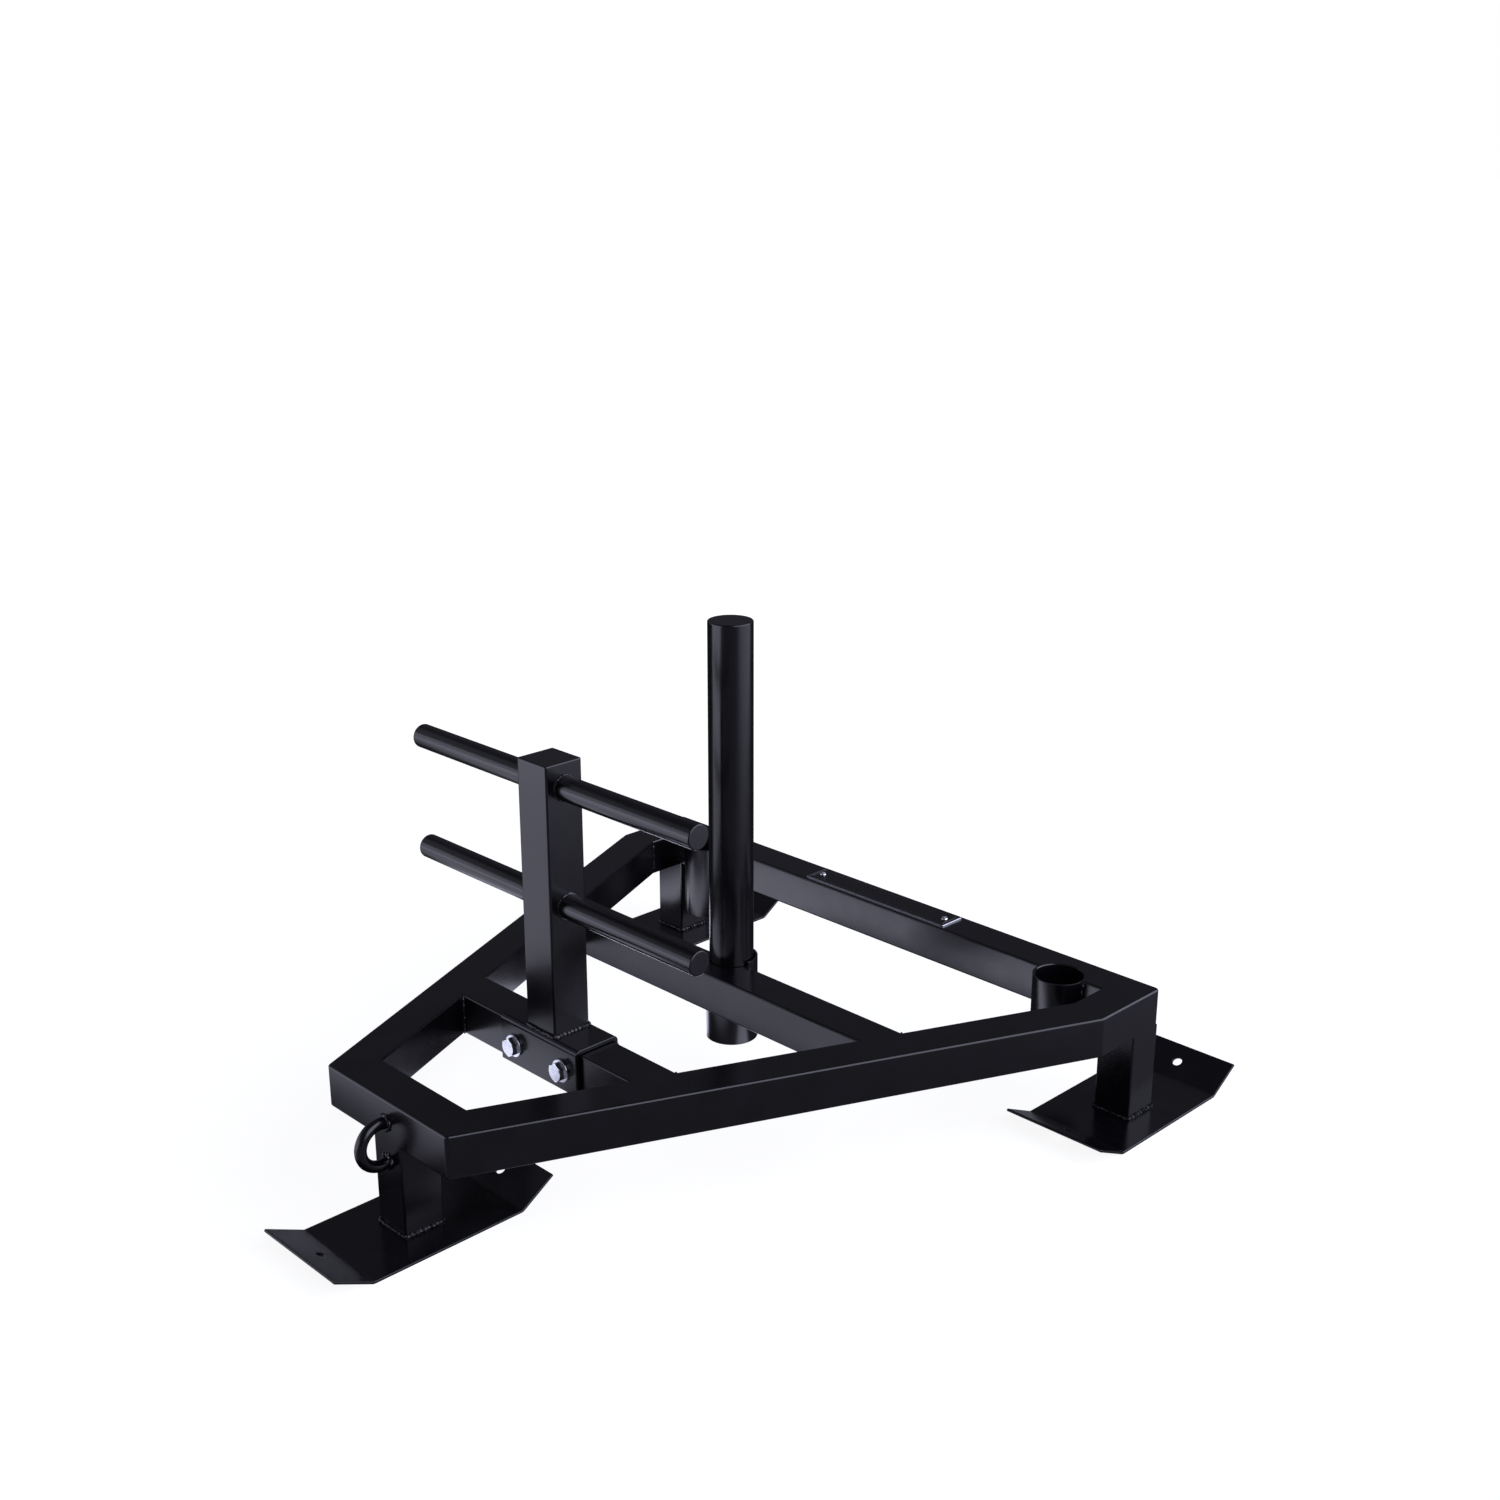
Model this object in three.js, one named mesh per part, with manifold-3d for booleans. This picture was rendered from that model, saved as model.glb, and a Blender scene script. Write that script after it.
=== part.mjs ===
// Push sled with three bent skis, a bolted handle mast and a lift-out weight post.
// Millimetres. X is across the sled, Y runs from the tow eye to the rear bar, Z is up.
// The origin is on the floor, on the centre line, midway between the tips of the front and rear skis.

import * as THREE from "three";
import { mergeVertices } from "three/addons/utils/BufferGeometryUtils.js";
import Module from "manifold-3d";

const wasm = await Module();
wasm.setup();

// Square tube, the stock of the frame, legs and mast
const TUBE = 45;
const TUBE_WALL = 3;
const TUBE_CORNER = 2.5;
const TUBE_BORE_CORNER = 1;

// Clear seam between pieces that touch, and the overrun of every cutting tool
const SEAM = 0.3;
const OVERRUN = 5;

// Frame, measured over its outside faces
const FRAME_LENGTH = 730;
const FRAME_WIDTH = 755;
const FRONT_WIDTH = 197;
const REAR_RAIL_LENGTH = 103;
const CROSSBAR_SETBACK = 188.5;
const MIDDLE_BAR_SETBACK = 409;
const LEG_HEIGHT = 96;

// Skis, folded up at both ends: each flat runs from the middle of the leg to a fold, and each hole
// is set out along the tip from its fold
const SKI_WIDTH = 122;
const SKI_THICKNESS = 3;
const SKI_BEND_RADIUS = 5;
const SKI_TIP_LENGTH = 46;
const SKI_HOLE_DIAMETER = 11;
const SKI_FRONT_FLAT = 84;
const SKI_FRONT_ANGLE = THREE.MathUtils.degToRad(25);
const SKI_FRONT_HOLE_REACH = 20;
const SKI_REAR_FLAT = 89;
const SKI_REAR_ANGLE = THREE.MathUtils.degToRad(32.5);
const SKI_REAR_HOLE_REACH = 23.5;

// The two rear skis lie a little inboard and a little behind the middle of their legs
const REAR_SKI_INSET = 3.5;
const REAR_SKI_SETBACK = 2.5;

// Weight post, which slides in its sleeve
const POST_DIAMETER = 49;
const POST_WALL = 3;
const POST_CLEARANCE = 1.5;
const POST_RISE = 386;
const POST_PLUG_THICKNESS = 4;
const POST_SPIGOT_LENGTH = 12;
const POST_CHAMFER = 1.5;

// Round sleeves for the weight post and the two push poles
const SLEEVE_WALL = 3;
const SLEEVE_STANDOFF = 2.5;
const SLEEVE_DROP = 92;
const SLEEVE_CHAMFER = 1;
const SLEEVE_FLOOR = 4;
const WEIGHT_SLEEVE_RISE = 5;
const POLE_SLEEVE_INSET = 98;

// Mast and its folded saddle
const MAST_RISE = 292;
const MAST_CAP_THICKNESS = 3;
const MAST_CAP_CHAMFER = 1;
const SADDLE_LENGTH = 122;
const SADDLE_THICKNESS = 4.8;
const SADDLE_BEND_RADIUS = 1.2;
const SADDLE_CLEARANCE = 0.4;

// Cross handles through the mast, set down from its top
const HANDLE_DIAMETER = 25.4;
const HANDLE_WALL = 2.5;
const HANDLE_LENGTH = 426;
const UPPER_HANDLE_DROP = 26;
const HANDLE_PITCH = 124;
const HANDLE_PLUG_THICKNESS = 3;
const HANDLE_SPIGOT_LENGTH = 10;
const HANDLE_CHAMFER = 1.2;

// Hex bolts through saddle and crossbar
const BOLT_DIAMETER = 12;
const BOLT_PITCH = 76;
const BOLT_TAIL = 4;
const BOLT_HOLE_CLEARANCE = 0.5;
const HEX_ACROSS_FLATS = 18;
const HEX_CHAMFER = 1.2;
const BOLT_HEAD_HEIGHT = 6.4;
const NUT_HEIGHT = 10.5;
const WASHER_DIAMETER = 24;
const WASHER_THICKNESS = 2.5;

// Tow eye, a ring of bar set against the front face
const EYE_BAR_DIAMETER = 12;
const EYE_RADIUS = 22;
const EYE_STANDOFF = 7.5;

// Blank name plate on the rear bar
const PLATE_LENGTH = 218;
const PLATE_DEPTH = 36;
const PLATE_THICKNESS = 1.5;
const PLATE_CORNER = 2;
const PLATE_RIVET_INSET = 12;
const RIVET_DIAMETER = 4;
const RIVET_HEAD_DIAMETER = 8;
const RIVET_HEAD_HEIGHT = 2;
const RIVET_GRIP = 4;
const RIVET_CLEARANCE = 0.3;

// Facets: steps round a full turn, along the eye and round half its bar, and in a corner
const ROUND_STEPS = 40;
const SMALL_ROUND_STEPS = 24;
const EYE_STEPS = 30;
const EYE_BAR_STEPS = 6;
const CORNER_STEPS = 4;
const TUBE_CORNER_STEPS = 2;
const HEX_SIDES = 6;
const HALF_TURN = Math.PI;
const QUARTER_TURN = Math.PI / 2;

// Levels and lines that several pieces share
const FRAME_UNDERSIDE = SKI_THICKNESS + LEG_HEIGHT;
const FRAME_TOP = FRAME_UNDERSIDE + TUBE;
const FRAME_MIDDLE = FRAME_UNDERSIDE + TUBE / 2;
const skiReach = (flat, angle) => (
  flat + SKI_TIP_LENGTH * Math.cos(angle) + (SKI_THICKNESS / 2) * Math.sin(angle)
);
const FRONT_OVERHANG = skiReach(SKI_FRONT_FLAT, SKI_FRONT_ANGLE);
const REAR_OVERHANG = skiReach(SKI_REAR_FLAT, SKI_REAR_ANGLE) + REAR_SKI_SETBACK;
const FRONT_FACE = (FRONT_OVERHANG - REAR_OVERHANG - FRAME_LENGTH) / 2;
const REAR_FACE = FRONT_FACE + FRAME_LENGTH;
const CROSSBAR_Y = FRONT_FACE + CROSSBAR_SETBACK + TUBE / 2;
const MIDDLE_BAR_Y = FRONT_FACE + MIDDLE_BAR_SETBACK + TUBE / 2;
const SLEEVE_RADIUS = POST_DIAMETER / 2 + POST_CLEARANCE + SLEEVE_WALL;
const SLEEVE_BOTTOM = FRAME_TOP - SLEEVE_DROP;
const SLEEVE_AXIS_OFFSET = TUBE / 2 + SLEEVE_STANDOFF;
const WEIGHT_SLEEVE_Y = MIDDLE_BAR_Y + SLEEVE_AXIS_OFFSET;
const POLE_SLEEVE_X = FRAME_WIDTH / 2 - POLE_SLEEVE_INSET;
const POLE_SLEEVE_Y = REAR_FACE - TUBE / 2 - SLEEVE_AXIS_OFFSET;
const BOLT_X = BOLT_PITCH / 2;
const BOLT_HOLE_RADIUS = BOLT_DIAMETER / 2 + BOLT_HOLE_CLEARANCE;
const SADDLE_FACE = TUBE / 2 + SADDLE_CLEARANCE + SADDLE_THICKNESS;
const SADDLE_TOP = FRAME_TOP + SADDLE_CLEARANCE + SADDLE_THICKNESS;
const BOLT_SEAT = SADDLE_FACE + 2 * SEAM + WASHER_THICKNESS;
const BOLT_LENGTH = 2 * BOLT_SEAT + NUT_HEIGHT + BOLT_TAIL;
const MAST_TOP = FRAME_TOP + MAST_RISE;
const UPPER_HANDLE_LEVEL = MAST_TOP - UPPER_HANDLE_DROP;
const LOWER_HANDLE_LEVEL = UPPER_HANDLE_LEVEL - HANDLE_PITCH;
const PLATE_RIVET_X = PLATE_LENGTH / 2 - PLATE_RIVET_INSET;

// Finishes
const blackPaint = { color: 0x17171b, roughness: 0.42, metalness: 0.1 };
const zincPlate = { color: 0xd9dadd, roughness: 0.2, metalness: 1 };
const barePlate = { color: 0x2a2a30, roughness: 0.35, metalness: 0.8 };

// Solids: closed meshes that can be cut and joined

function toSolid(geometry) {
  const bare = new THREE.BufferGeometry();
  bare.setAttribute("position", geometry.getAttribute("position").clone());
  if (geometry.index) bare.setIndex(geometry.index.clone());
  const merged = mergeVertices(bare);
  return new wasm.Manifold(new wasm.Mesh({
    numProp: 3,
    vertProperties: new Float32Array(merged.getAttribute("position").array),
    triVerts: new Uint32Array(merged.index.array),
  }));
}

function toGeometry(solid) {
  const mesh = solid.getMesh();
  const geometry = new THREE.BufferGeometry();
  geometry.setAttribute("position", new THREE.BufferAttribute(new Float32Array(mesh.vertProperties), 3));
  geometry.setIndex(new THREE.BufferAttribute(new Uint32Array(mesh.triVerts), 1));
  geometry.computeVertexNormals();
  return geometry;
}

function cut(geometry, tools) {
  return toGeometry(tools.reduce((body, tool) => body.subtract(toSolid(tool)), toSolid(geometry)));
}

function join(first, second) {
  return toGeometry(toSolid(first).add(toSolid(second)));
}

function overlapOf(first, second) {
  return toGeometry(toSolid(first).intersect(toSolid(second)));
}

// Turns a shape drawn in Y and Z, and extruded by a length, to lie along X about the origin
function layAlongX(geometry, length) {
  const axes = new THREE.Matrix4().makeBasis(
    new THREE.Vector3(0, 1, 0),
    new THREE.Vector3(0, 0, 1),
    new THREE.Vector3(1, 0, 0),
  );
  return geometry.applyMatrix4(axes).translate(-length / 2, 0, 0);
}

// A revolved profile of [radius, height] pairs, standing on Z
function revolve(profile, steps = ROUND_STEPS) {
  const points = profile.map(([radius, height]) => new THREE.Vector2(radius, height));
  return new THREE.LatheGeometry(points, steps).rotateX(QUARTER_TURN);
}

// A plain cylinder about the origin, along Z
function cylinder(radius, length, steps = ROUND_STEPS) {
  return new THREE.CylinderGeometry(radius, radius, length, steps).rotateX(QUARTER_TURN);
}

function roundedRectangle(kind, width, height, radius) {
  const outline = new kind();
  const right = width / 2 - radius;
  const top = height / 2 - radius;
  outline.absarc(right, top, radius, 0, QUARTER_TURN);
  outline.absarc(-right, top, radius, QUARTER_TURN, HALF_TURN);
  outline.absarc(-right, -top, radius, HALF_TURN, HALF_TURN + QUARTER_TURN);
  outline.absarc(right, -top, radius, HALF_TURN + QUARTER_TURN, 2 * HALF_TURN);
  outline.closePath();
  return outline;
}

// Square tube along X. Each end is cut square, or sloped in plan by a run along X per step in Y.
function squareTube(length, startSlope = 0, endSlope = 0) {
  const section = roundedRectangle(THREE.Shape, TUBE, TUBE, TUBE_CORNER);
  const bore = TUBE - 2 * TUBE_WALL;
  section.holes.push(roundedRectangle(THREE.Path, bore, bore, TUBE_BORE_CORNER));
  const flat = new THREE.ExtrudeGeometry(section, {
    depth: length,
    bevelEnabled: false,
    curveSegments: TUBE_CORNER_STEPS,
  });
  const tube = layAlongX(flat, length);
  const position = tube.getAttribute("position");
  for (let i = 0; i < position.count; i += 1) {
    const slope = position.getX(i) < 0 ? startSlope : endSlope;
    position.setX(i, position.getX(i) + slope * position.getY(i));
  }
  tube.computeVertexNormals();
  return tube;
}

// Sheet metal folded along a line of corners, as a closed outline with concentric bends
function foldedSheet(corners, thickness, insideRadius) {
  const middleRadius = insideRadius + thickness / 2;
  const left = [];
  const right = [];
  const mark = (point, normal) => {
    left.push(point.clone().addScaledVector(normal, thickness / 2));
    right.unshift(point.clone().addScaledVector(normal, -thickness / 2));
  };
  const heading = (i) => corners[i + 1].clone().sub(corners[i]).normalize();
  const leftOf = (direction) => new THREE.Vector2(-direction.y, direction.x);
  mark(corners[0], leftOf(heading(0)));
  for (let i = 1; i < corners.length - 1; i += 1) {
    const before = heading(i - 1);
    const turn = Math.asin(before.cross(heading(i)));
    const side = Math.sign(turn);
    const setback = middleRadius * Math.tan(Math.abs(turn) / 2);
    const tangent = corners[i].clone().addScaledVector(before, -setback);
    const centre = tangent.clone().addScaledVector(leftOf(before), side * middleRadius);
    for (let step = 0; step <= CORNER_STEPS; step += 1) {
      const angle = (turn * step) / CORNER_STEPS;
      mark(
        tangent.clone().rotateAround(centre, angle),
        leftOf(before).rotateAround(new THREE.Vector2(), angle),
      );
    }
  }
  mark(corners[corners.length - 1], leftOf(heading(corners.length - 2)));
  return new THREE.Shape([...right, ...left]);
}

// The group that holds every piece
const sled = new THREE.Group();

function addPiece(name, geometry, finish, position, turn = [0, 0, 0]) {
  const mesh = new THREE.Mesh(geometry, new THREE.MeshStandardMaterial(finish));
  mesh.name = name;
  mesh.position.set(...position);
  mesh.rotation.set(...turn);
  sled.add(mesh);
  return mesh;
}

// Frame outline in plan, anticlockwise from the front left corner
const outerCorners = [
  [-FRONT_WIDTH / 2, FRONT_FACE],
  [FRONT_WIDTH / 2, FRONT_FACE],
  [FRAME_WIDTH / 2, REAR_FACE - REAR_RAIL_LENGTH],
  [FRAME_WIDTH / 2, REAR_FACE],
  [-FRAME_WIDTH / 2, REAR_FACE],
  [-FRAME_WIDTH / 2, REAR_FACE - REAR_RAIL_LENGTH],
].map(([x, y]) => new THREE.Vector2(x, y));

function around(list, i) {
  return list[(i + list.length) % list.length];
}

function edgeHeading(corners, i) {
  return around(corners, i + 1).clone().sub(around(corners, i)).normalize();
}

// The outline moved inwards by a distance, corner by corner
function inset(corners, distance) {
  return corners.map((corner, i) => {
    const before = edgeHeading(corners, i - 1);
    const after = edgeHeading(corners, i);
    const normals = new THREE.Vector2(-before.y - after.y, before.x + after.x);
    return corner.clone().addScaledVector(normals, distance / (1 + before.dot(after)));
  });
}

const centreCorners = inset(outerCorners, TUBE / 2);
const innerCorners = inset(outerCorners, TUBE);

// One mitred tube of the frame, from a corner of the outline to the next
function mitredRail(i) {
  const before = edgeHeading(centreCorners, i - 1);
  const along = edgeHeading(centreCorners, i);
  const after = edgeHeading(centreCorners, i + 1);
  const startMitre = Math.acos(before.dot(along)) / 2;
  const endMitre = Math.acos(along.dot(after)) / 2;
  const startGap = SEAM / 2 / Math.cos(startMitre);
  const endGap = SEAM / 2 / Math.cos(endMitre);
  const start = around(centreCorners, i).clone().addScaledVector(along, startGap);
  const end = around(centreCorners, i + 1).clone().addScaledVector(along, -endGap);
  const middle = start.clone().add(end).divideScalar(2);
  return {
    geometry: squareTube(start.distanceTo(end), Math.tan(startMitre), -Math.tan(endMitre)),
    position: [middle.x, middle.y, FRAME_MIDDLE],
    turn: [0, 0, along.angle()],
  };
}

// A cutter for the seat that a sleeve stands in
function sleeveSeat(x, y) {
  return cylinder(SLEEVE_RADIUS + SEAM, TUBE + 2 * OVERRUN).translate(x, y, 0);
}

// A drill down through the top wall of a tube only
function topDrill(x, radius) {
  const depth = TUBE_WALL + 2 * OVERRUN;
  return cylinder(radius, depth, SMALL_ROUND_STEPS).translate(x, 0, TUBE / 2 + OVERRUN - depth / 2);
}

function addFrame() {
  const names = [
    "front_bar",
    "right_side_rail",
    "right_rear_rail",
    "rear_bar",
    "left_rear_rail",
    "left_side_rail",
  ];
  names.forEach((name, i) => {
    const rail = mitredRail(i);
    let { geometry } = rail;
    if (name === "rear_bar") {
      const rivetHole = RIVET_DIAMETER / 2 + RIVET_CLEARANCE;
      geometry = cut(geometry, [-1, 1].flatMap((side) => [
        sleeveSeat(side * POLE_SLEEVE_X, SLEEVE_AXIS_OFFSET),
        topDrill(side * PLATE_RIVET_X, rivetHole),
      ]));
    }
    addPiece(name, geometry, blackPaint, rail.position, rail.turn);
  });
}

// A tube across the frame at Y, its ends sloped to the inner faces of the side rails
function crossTube(y) {
  const front = innerCorners[1];
  const rear = innerCorners[2];
  const slope = (rear.x - front.x) / (rear.y - front.y);
  const gap = SEAM / Math.cos(Math.atan(slope));
  const reach = front.x + (y - front.y) * slope - gap;
  return squareTube(2 * reach, -slope, slope);
}

function addCrossTubes() {
  const middleBar = cut(crossTube(MIDDLE_BAR_Y), [sleeveSeat(0, SLEEVE_AXIS_OFFSET)]);
  addPiece("middle_bar", middleBar, blackPaint, [0, MIDDLE_BAR_Y, FRAME_MIDDLE]);
  const drills = [-BOLT_X, BOLT_X].map((x) => boltDrill(x));
  addPiece("mast_crossbar", cut(crossTube(CROSSBAR_Y), drills), blackPaint, [0, CROSSBAR_Y, FRAME_MIDDLE]);
}

// A drill through tube and saddle along Y
function boltDrill(x) {
  const length = 2 * (SADDLE_FACE + OVERRUN);
  return cylinder(BOLT_HOLE_RADIUS, length, SMALL_ROUND_STEPS).rotateX(QUARTER_TURN).translate(x, 0, 0);
}

// Ski: one strip, flat on the floor and folded up at both ends, with a hole through each tip
function skiGeometry() {
  const front = { way: -1, flat: SKI_FRONT_FLAT, angle: SKI_FRONT_ANGLE, hole: SKI_FRONT_HOLE_REACH };
  const rear = { way: 1, flat: SKI_REAR_FLAT, angle: SKI_REAR_ANGLE, hole: SKI_REAR_HOLE_REACH };
  const onTip = ({ way, flat, angle }, distance) => new THREE.Vector2(
    way * (flat + distance * Math.cos(angle)),
    SKI_THICKNESS / 2 + distance * Math.sin(angle),
  );
  const line = [
    onTip(front, SKI_TIP_LENGTH),
    onTip(front, 0),
    onTip(rear, 0),
    onTip(rear, SKI_TIP_LENGTH),
  ];
  const strip = new THREE.ExtrudeGeometry(foldedSheet(line, SKI_THICKNESS, SKI_BEND_RADIUS), {
    depth: SKI_WIDTH,
    bevelEnabled: false,
  });
  const holes = [front, rear].map((end) => {
    const place = onTip(end, end.hole);
    return cylinder(SKI_HOLE_DIAMETER / 2, SKI_THICKNESS + 2 * OVERRUN, SMALL_ROUND_STEPS)
      .rotateX(end.way * end.angle)
      .translate(0, place.x, place.y);
  });
  return cut(layAlongX(strip, SKI_WIDTH), holes);
}

// Each leg has its faces flush with the corner of the frame, and stands on its ski
function addLegsAndSkis() {
  const rearX = (FRAME_WIDTH - TUBE) / 2;
  const rearY = REAR_FACE - TUBE / 2;
  const feet = [
    ["front", 0, FRONT_FACE + TUBE / 2, 0, 0],
    ["left_rear", -rearX, rearY, REAR_SKI_INSET, REAR_SKI_SETBACK],
    ["right_rear", rearX, rearY, -REAR_SKI_INSET, REAR_SKI_SETBACK],
  ];
  const upright = [0, -QUARTER_TURN, 0];
  feet.forEach(([place, x, y, skiX, skiY]) => {
    const leg = squareTube(LEG_HEIGHT - 2 * SEAM);
    addPiece(`${place}_leg`, leg, blackPaint, [x, y, SKI_THICKNESS + LEG_HEIGHT / 2], upright);
    addPiece(`${place}_ski`, skiGeometry(), blackPaint, [x + skiX, y + skiY, 0]);
  });
}

// Round sleeve with a lead-in at its mouth, standing on Z from its lower end
function sleeveGeometry(length) {
  const bore = SLEEVE_RADIUS - SLEEVE_WALL;
  return revolve([
    [bore, 0],
    [SLEEVE_RADIUS, 0],
    [SLEEVE_RADIUS, length],
    [bore + SLEEVE_CHAMFER, length],
    [bore, length - SLEEVE_CHAMFER],
    [bore, 0],
  ]);
}

// A cutter for the rim of the weight sleeve, over the bar that holds it: the rim stands up behind the
// bar only, and is level with its top elsewhere
function rimCutter() {
  const reach = 2 * SLEEVE_RADIUS;
  const height = 2 * WEIGHT_SLEEVE_RISE;
  return new THREE.BoxGeometry(reach + 2 * OVERRUN, reach, height)
    .translate(0, -SLEEVE_STANDOFF - reach / 2, SLEEVE_DROP + height / 2);
}

// Each sleeve has a floor disc inside its lower end, for the post or pole to stand on
function addSleeves() {
  const sleeves = [
    ["weight", 0, WEIGHT_SLEEVE_Y, WEIGHT_SLEEVE_RISE],
    ["left_pole", -POLE_SLEEVE_X, POLE_SLEEVE_Y, 0],
    ["right_pole", POLE_SLEEVE_X, POLE_SLEEVE_Y, 0],
  ];
  const floorRadius = SLEEVE_RADIUS - SLEEVE_WALL - SEAM;
  const floorLevel = SLEEVE_BOTTOM + SLEEVE_FLOOR / 2;
  sleeves.forEach(([place, x, y, rise]) => {
    const sleeve = sleeveGeometry(SLEEVE_DROP + rise);
    const fitted = rise > 0 ? cut(sleeve, [rimCutter()]) : sleeve;
    addPiece(`${place}_sleeve`, fitted, blackPaint, [x, y, SLEEVE_BOTTOM]);
    addPiece(`${place}_sleeve_floor`, cylinder(floorRadius, SLEEVE_FLOOR), blackPaint, [x, y, floorLevel]);
  });
}

// A circle in the YZ plane, whose path runs from one angle through another
class RingArc extends THREE.Curve {
  constructor(radius, start, sweep) {
    super();
    this.radius = radius;
    this.start = start;
    this.sweep = sweep;
  }

  getPoint(share) {
    const angle = this.start + this.sweep * share;
    return new THREE.Vector3(0, this.radius * Math.cos(angle), this.radius * Math.sin(angle));
  }
}

// Tow eye: a ring of round bar, centred on the seam of front bar and leg, and cut to their face
function addTowEye() {
  const bar = new THREE.Shape();
  bar.absarc(0, 0, EYE_BAR_DIAMETER / 2, 0, 2 * HALF_TURN);
  const hidden = Math.acos((EYE_STANDOFF + EYE_BAR_DIAMETER) / (EYE_RADIUS + EYE_BAR_DIAMETER / 2));
  const ring = new THREE.ExtrudeGeometry(bar, {
    extrudePath: new RingArc(EYE_RADIUS, hidden / 2, 2 * HALF_TURN - hidden),
    steps: EYE_STEPS,
    curveSegments: EYE_BAR_STEPS,
  });
  const reach = 2 * (EYE_RADIUS + EYE_BAR_DIAMETER);
  const wall = new THREE.BoxGeometry(reach, reach, reach).translate(0, reach / 2 + EYE_STANDOFF - SEAM, 0);
  addPiece("tow_eye", cut(ring, [wall]), blackPaint, [0, FRONT_FACE - EYE_STANDOFF, FRAME_UNDERSIDE]);
}

// Saddle: sheet folded over the crossbar and bored through both flanges
function addSaddle() {
  const side = SADDLE_FACE - SADDLE_THICKNESS / 2;
  const top = TUBE / 2 + SADDLE_CLEARANCE + SADDLE_THICKNESS / 2;
  const line = [
    [-side, -TUBE / 2],
    [-side, top],
    [side, top],
    [side, -TUBE / 2],
  ].map(([y, z]) => new THREE.Vector2(y, z));
  const sheet = new THREE.ExtrudeGeometry(foldedSheet(line, SADDLE_THICKNESS, SADDLE_BEND_RADIUS), {
    depth: SADDLE_LENGTH,
    bevelEnabled: false,
  });
  const drills = [-BOLT_X, BOLT_X].map((x) => boltDrill(x));
  const saddle = cut(layAlongX(sheet, SADDLE_LENGTH), drills);
  addPiece("mast_saddle", saddle, blackPaint, [0, CROSSBAR_Y, FRAME_MIDDLE]);
}

// Mast: an upright tube on the saddle, bored across for the two handles
function addMast() {
  const bottom = SADDLE_TOP + SEAM;
  const top = MAST_TOP - MAST_CAP_THICKNESS - SEAM;
  const middle = (bottom + top) / 2;
  const bores = [UPPER_HANDLE_LEVEL, LOWER_HANDLE_LEVEL].map((level) => (
    cylinder(HANDLE_DIAMETER / 2 + SEAM, TUBE + 2 * OVERRUN).translate(level - middle, 0, 0)
  ));
  const mast = cut(squareTube(top - bottom), bores);
  addPiece("mast", mast, blackPaint, [0, CROSSBAR_Y, middle], [0, -QUARTER_TURN, 0]);

  const flat = TUBE - 2 * MAST_CAP_CHAMFER;
  const lid = roundedRectangle(THREE.Shape, flat, flat, TUBE_CORNER - MAST_CAP_CHAMFER);
  const cap = new THREE.ExtrudeGeometry(lid, {
    depth: MAST_CAP_THICKNESS - 2 * MAST_CAP_CHAMFER,
    bevelThickness: MAST_CAP_CHAMFER,
    bevelSize: MAST_CAP_CHAMFER,
    bevelSegments: 1,
    curveSegments: TUBE_CORNER_STEPS,
  });
  addPiece("mast_cap", cap, blackPaint, [0, CROSSBAR_Y, top + SEAM + MAST_CAP_CHAMFER]);
}

// A plug for a round tube: a chamfered disc on a spigot, its outer face at the origin and facing +Z
function roundPlug(outside, wall, thickness, spigotLength, chamfer, steps) {
  const spigot = outside / 2 - wall - SEAM;
  return revolve([
    [0, -thickness - spigotLength],
    [spigot, -thickness - spigotLength],
    [spigot, -thickness],
    [outside / 2, -thickness],
    [outside / 2, -chamfer],
    [outside / 2 - chamfer, 0],
    [0, 0],
  ], steps);
}

// A straight round tube about the origin, along Z
function roundTube(outside, wall, length, steps) {
  const outer = outside / 2;
  return revolve([
    [outer - wall, -length / 2],
    [outer, -length / 2],
    [outer, length / 2],
    [outer - wall, length / 2],
    [outer - wall, -length / 2],
  ], steps);
}

function addHandles() {
  const tubeLength = HANDLE_LENGTH - 2 * (HANDLE_PLUG_THICKNESS + SEAM);
  const handles = [
    ["upper_handle", UPPER_HANDLE_LEVEL],
    ["lower_handle", LOWER_HANDLE_LEVEL],
  ];
  handles.forEach(([name, level]) => {
    const bar = roundTube(HANDLE_DIAMETER, HANDLE_WALL, tubeLength, ROUND_STEPS);
    addPiece(name, bar, blackPaint, [0, CROSSBAR_Y, level], [0, QUARTER_TURN, 0]);
    [["left", -1], ["right", 1]].forEach(([place, side]) => {
      const plug = roundPlug(
        HANDLE_DIAMETER,
        HANDLE_WALL,
        HANDLE_PLUG_THICKNESS,
        HANDLE_SPIGOT_LENGTH,
        HANDLE_CHAMFER,
        ROUND_STEPS,
      );
      const end = [(side * HANDLE_LENGTH) / 2, CROSSBAR_Y, level];
      addPiece(`${name}_${place}_plug`, plug, blackPaint, end, [0, side * QUARTER_TURN, 0]);
    });
  });
}

// Hexagon along Z from the origin, its corners turned down at one or both ends
function hexBlock(height, bothEnds) {
  const corner = HEX_ACROSS_FLATS / 2 / Math.cos(HALF_TURN / HEX_SIDES);
  const prism = new THREE.CylinderGeometry(corner, corner, height, HEX_SIDES)
    .rotateX(QUARTER_TURN)
    .translate(0, 0, height / 2);
  const rim = HEX_ACROSS_FLATS / 2;
  const wide = corner + OVERRUN;
  const drop = ((wide - rim) * HEX_CHAMFER) / (corner - rim) / 2;
  const lower = bothEnds ? [[rim, 0], [wide, drop]] : [[wide, 0]];
  const turned = revolve([[0, 0], ...lower, [wide, height - drop], [rim, height], [0, height]]);
  return overlapOf(prism, turned);
}

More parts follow.
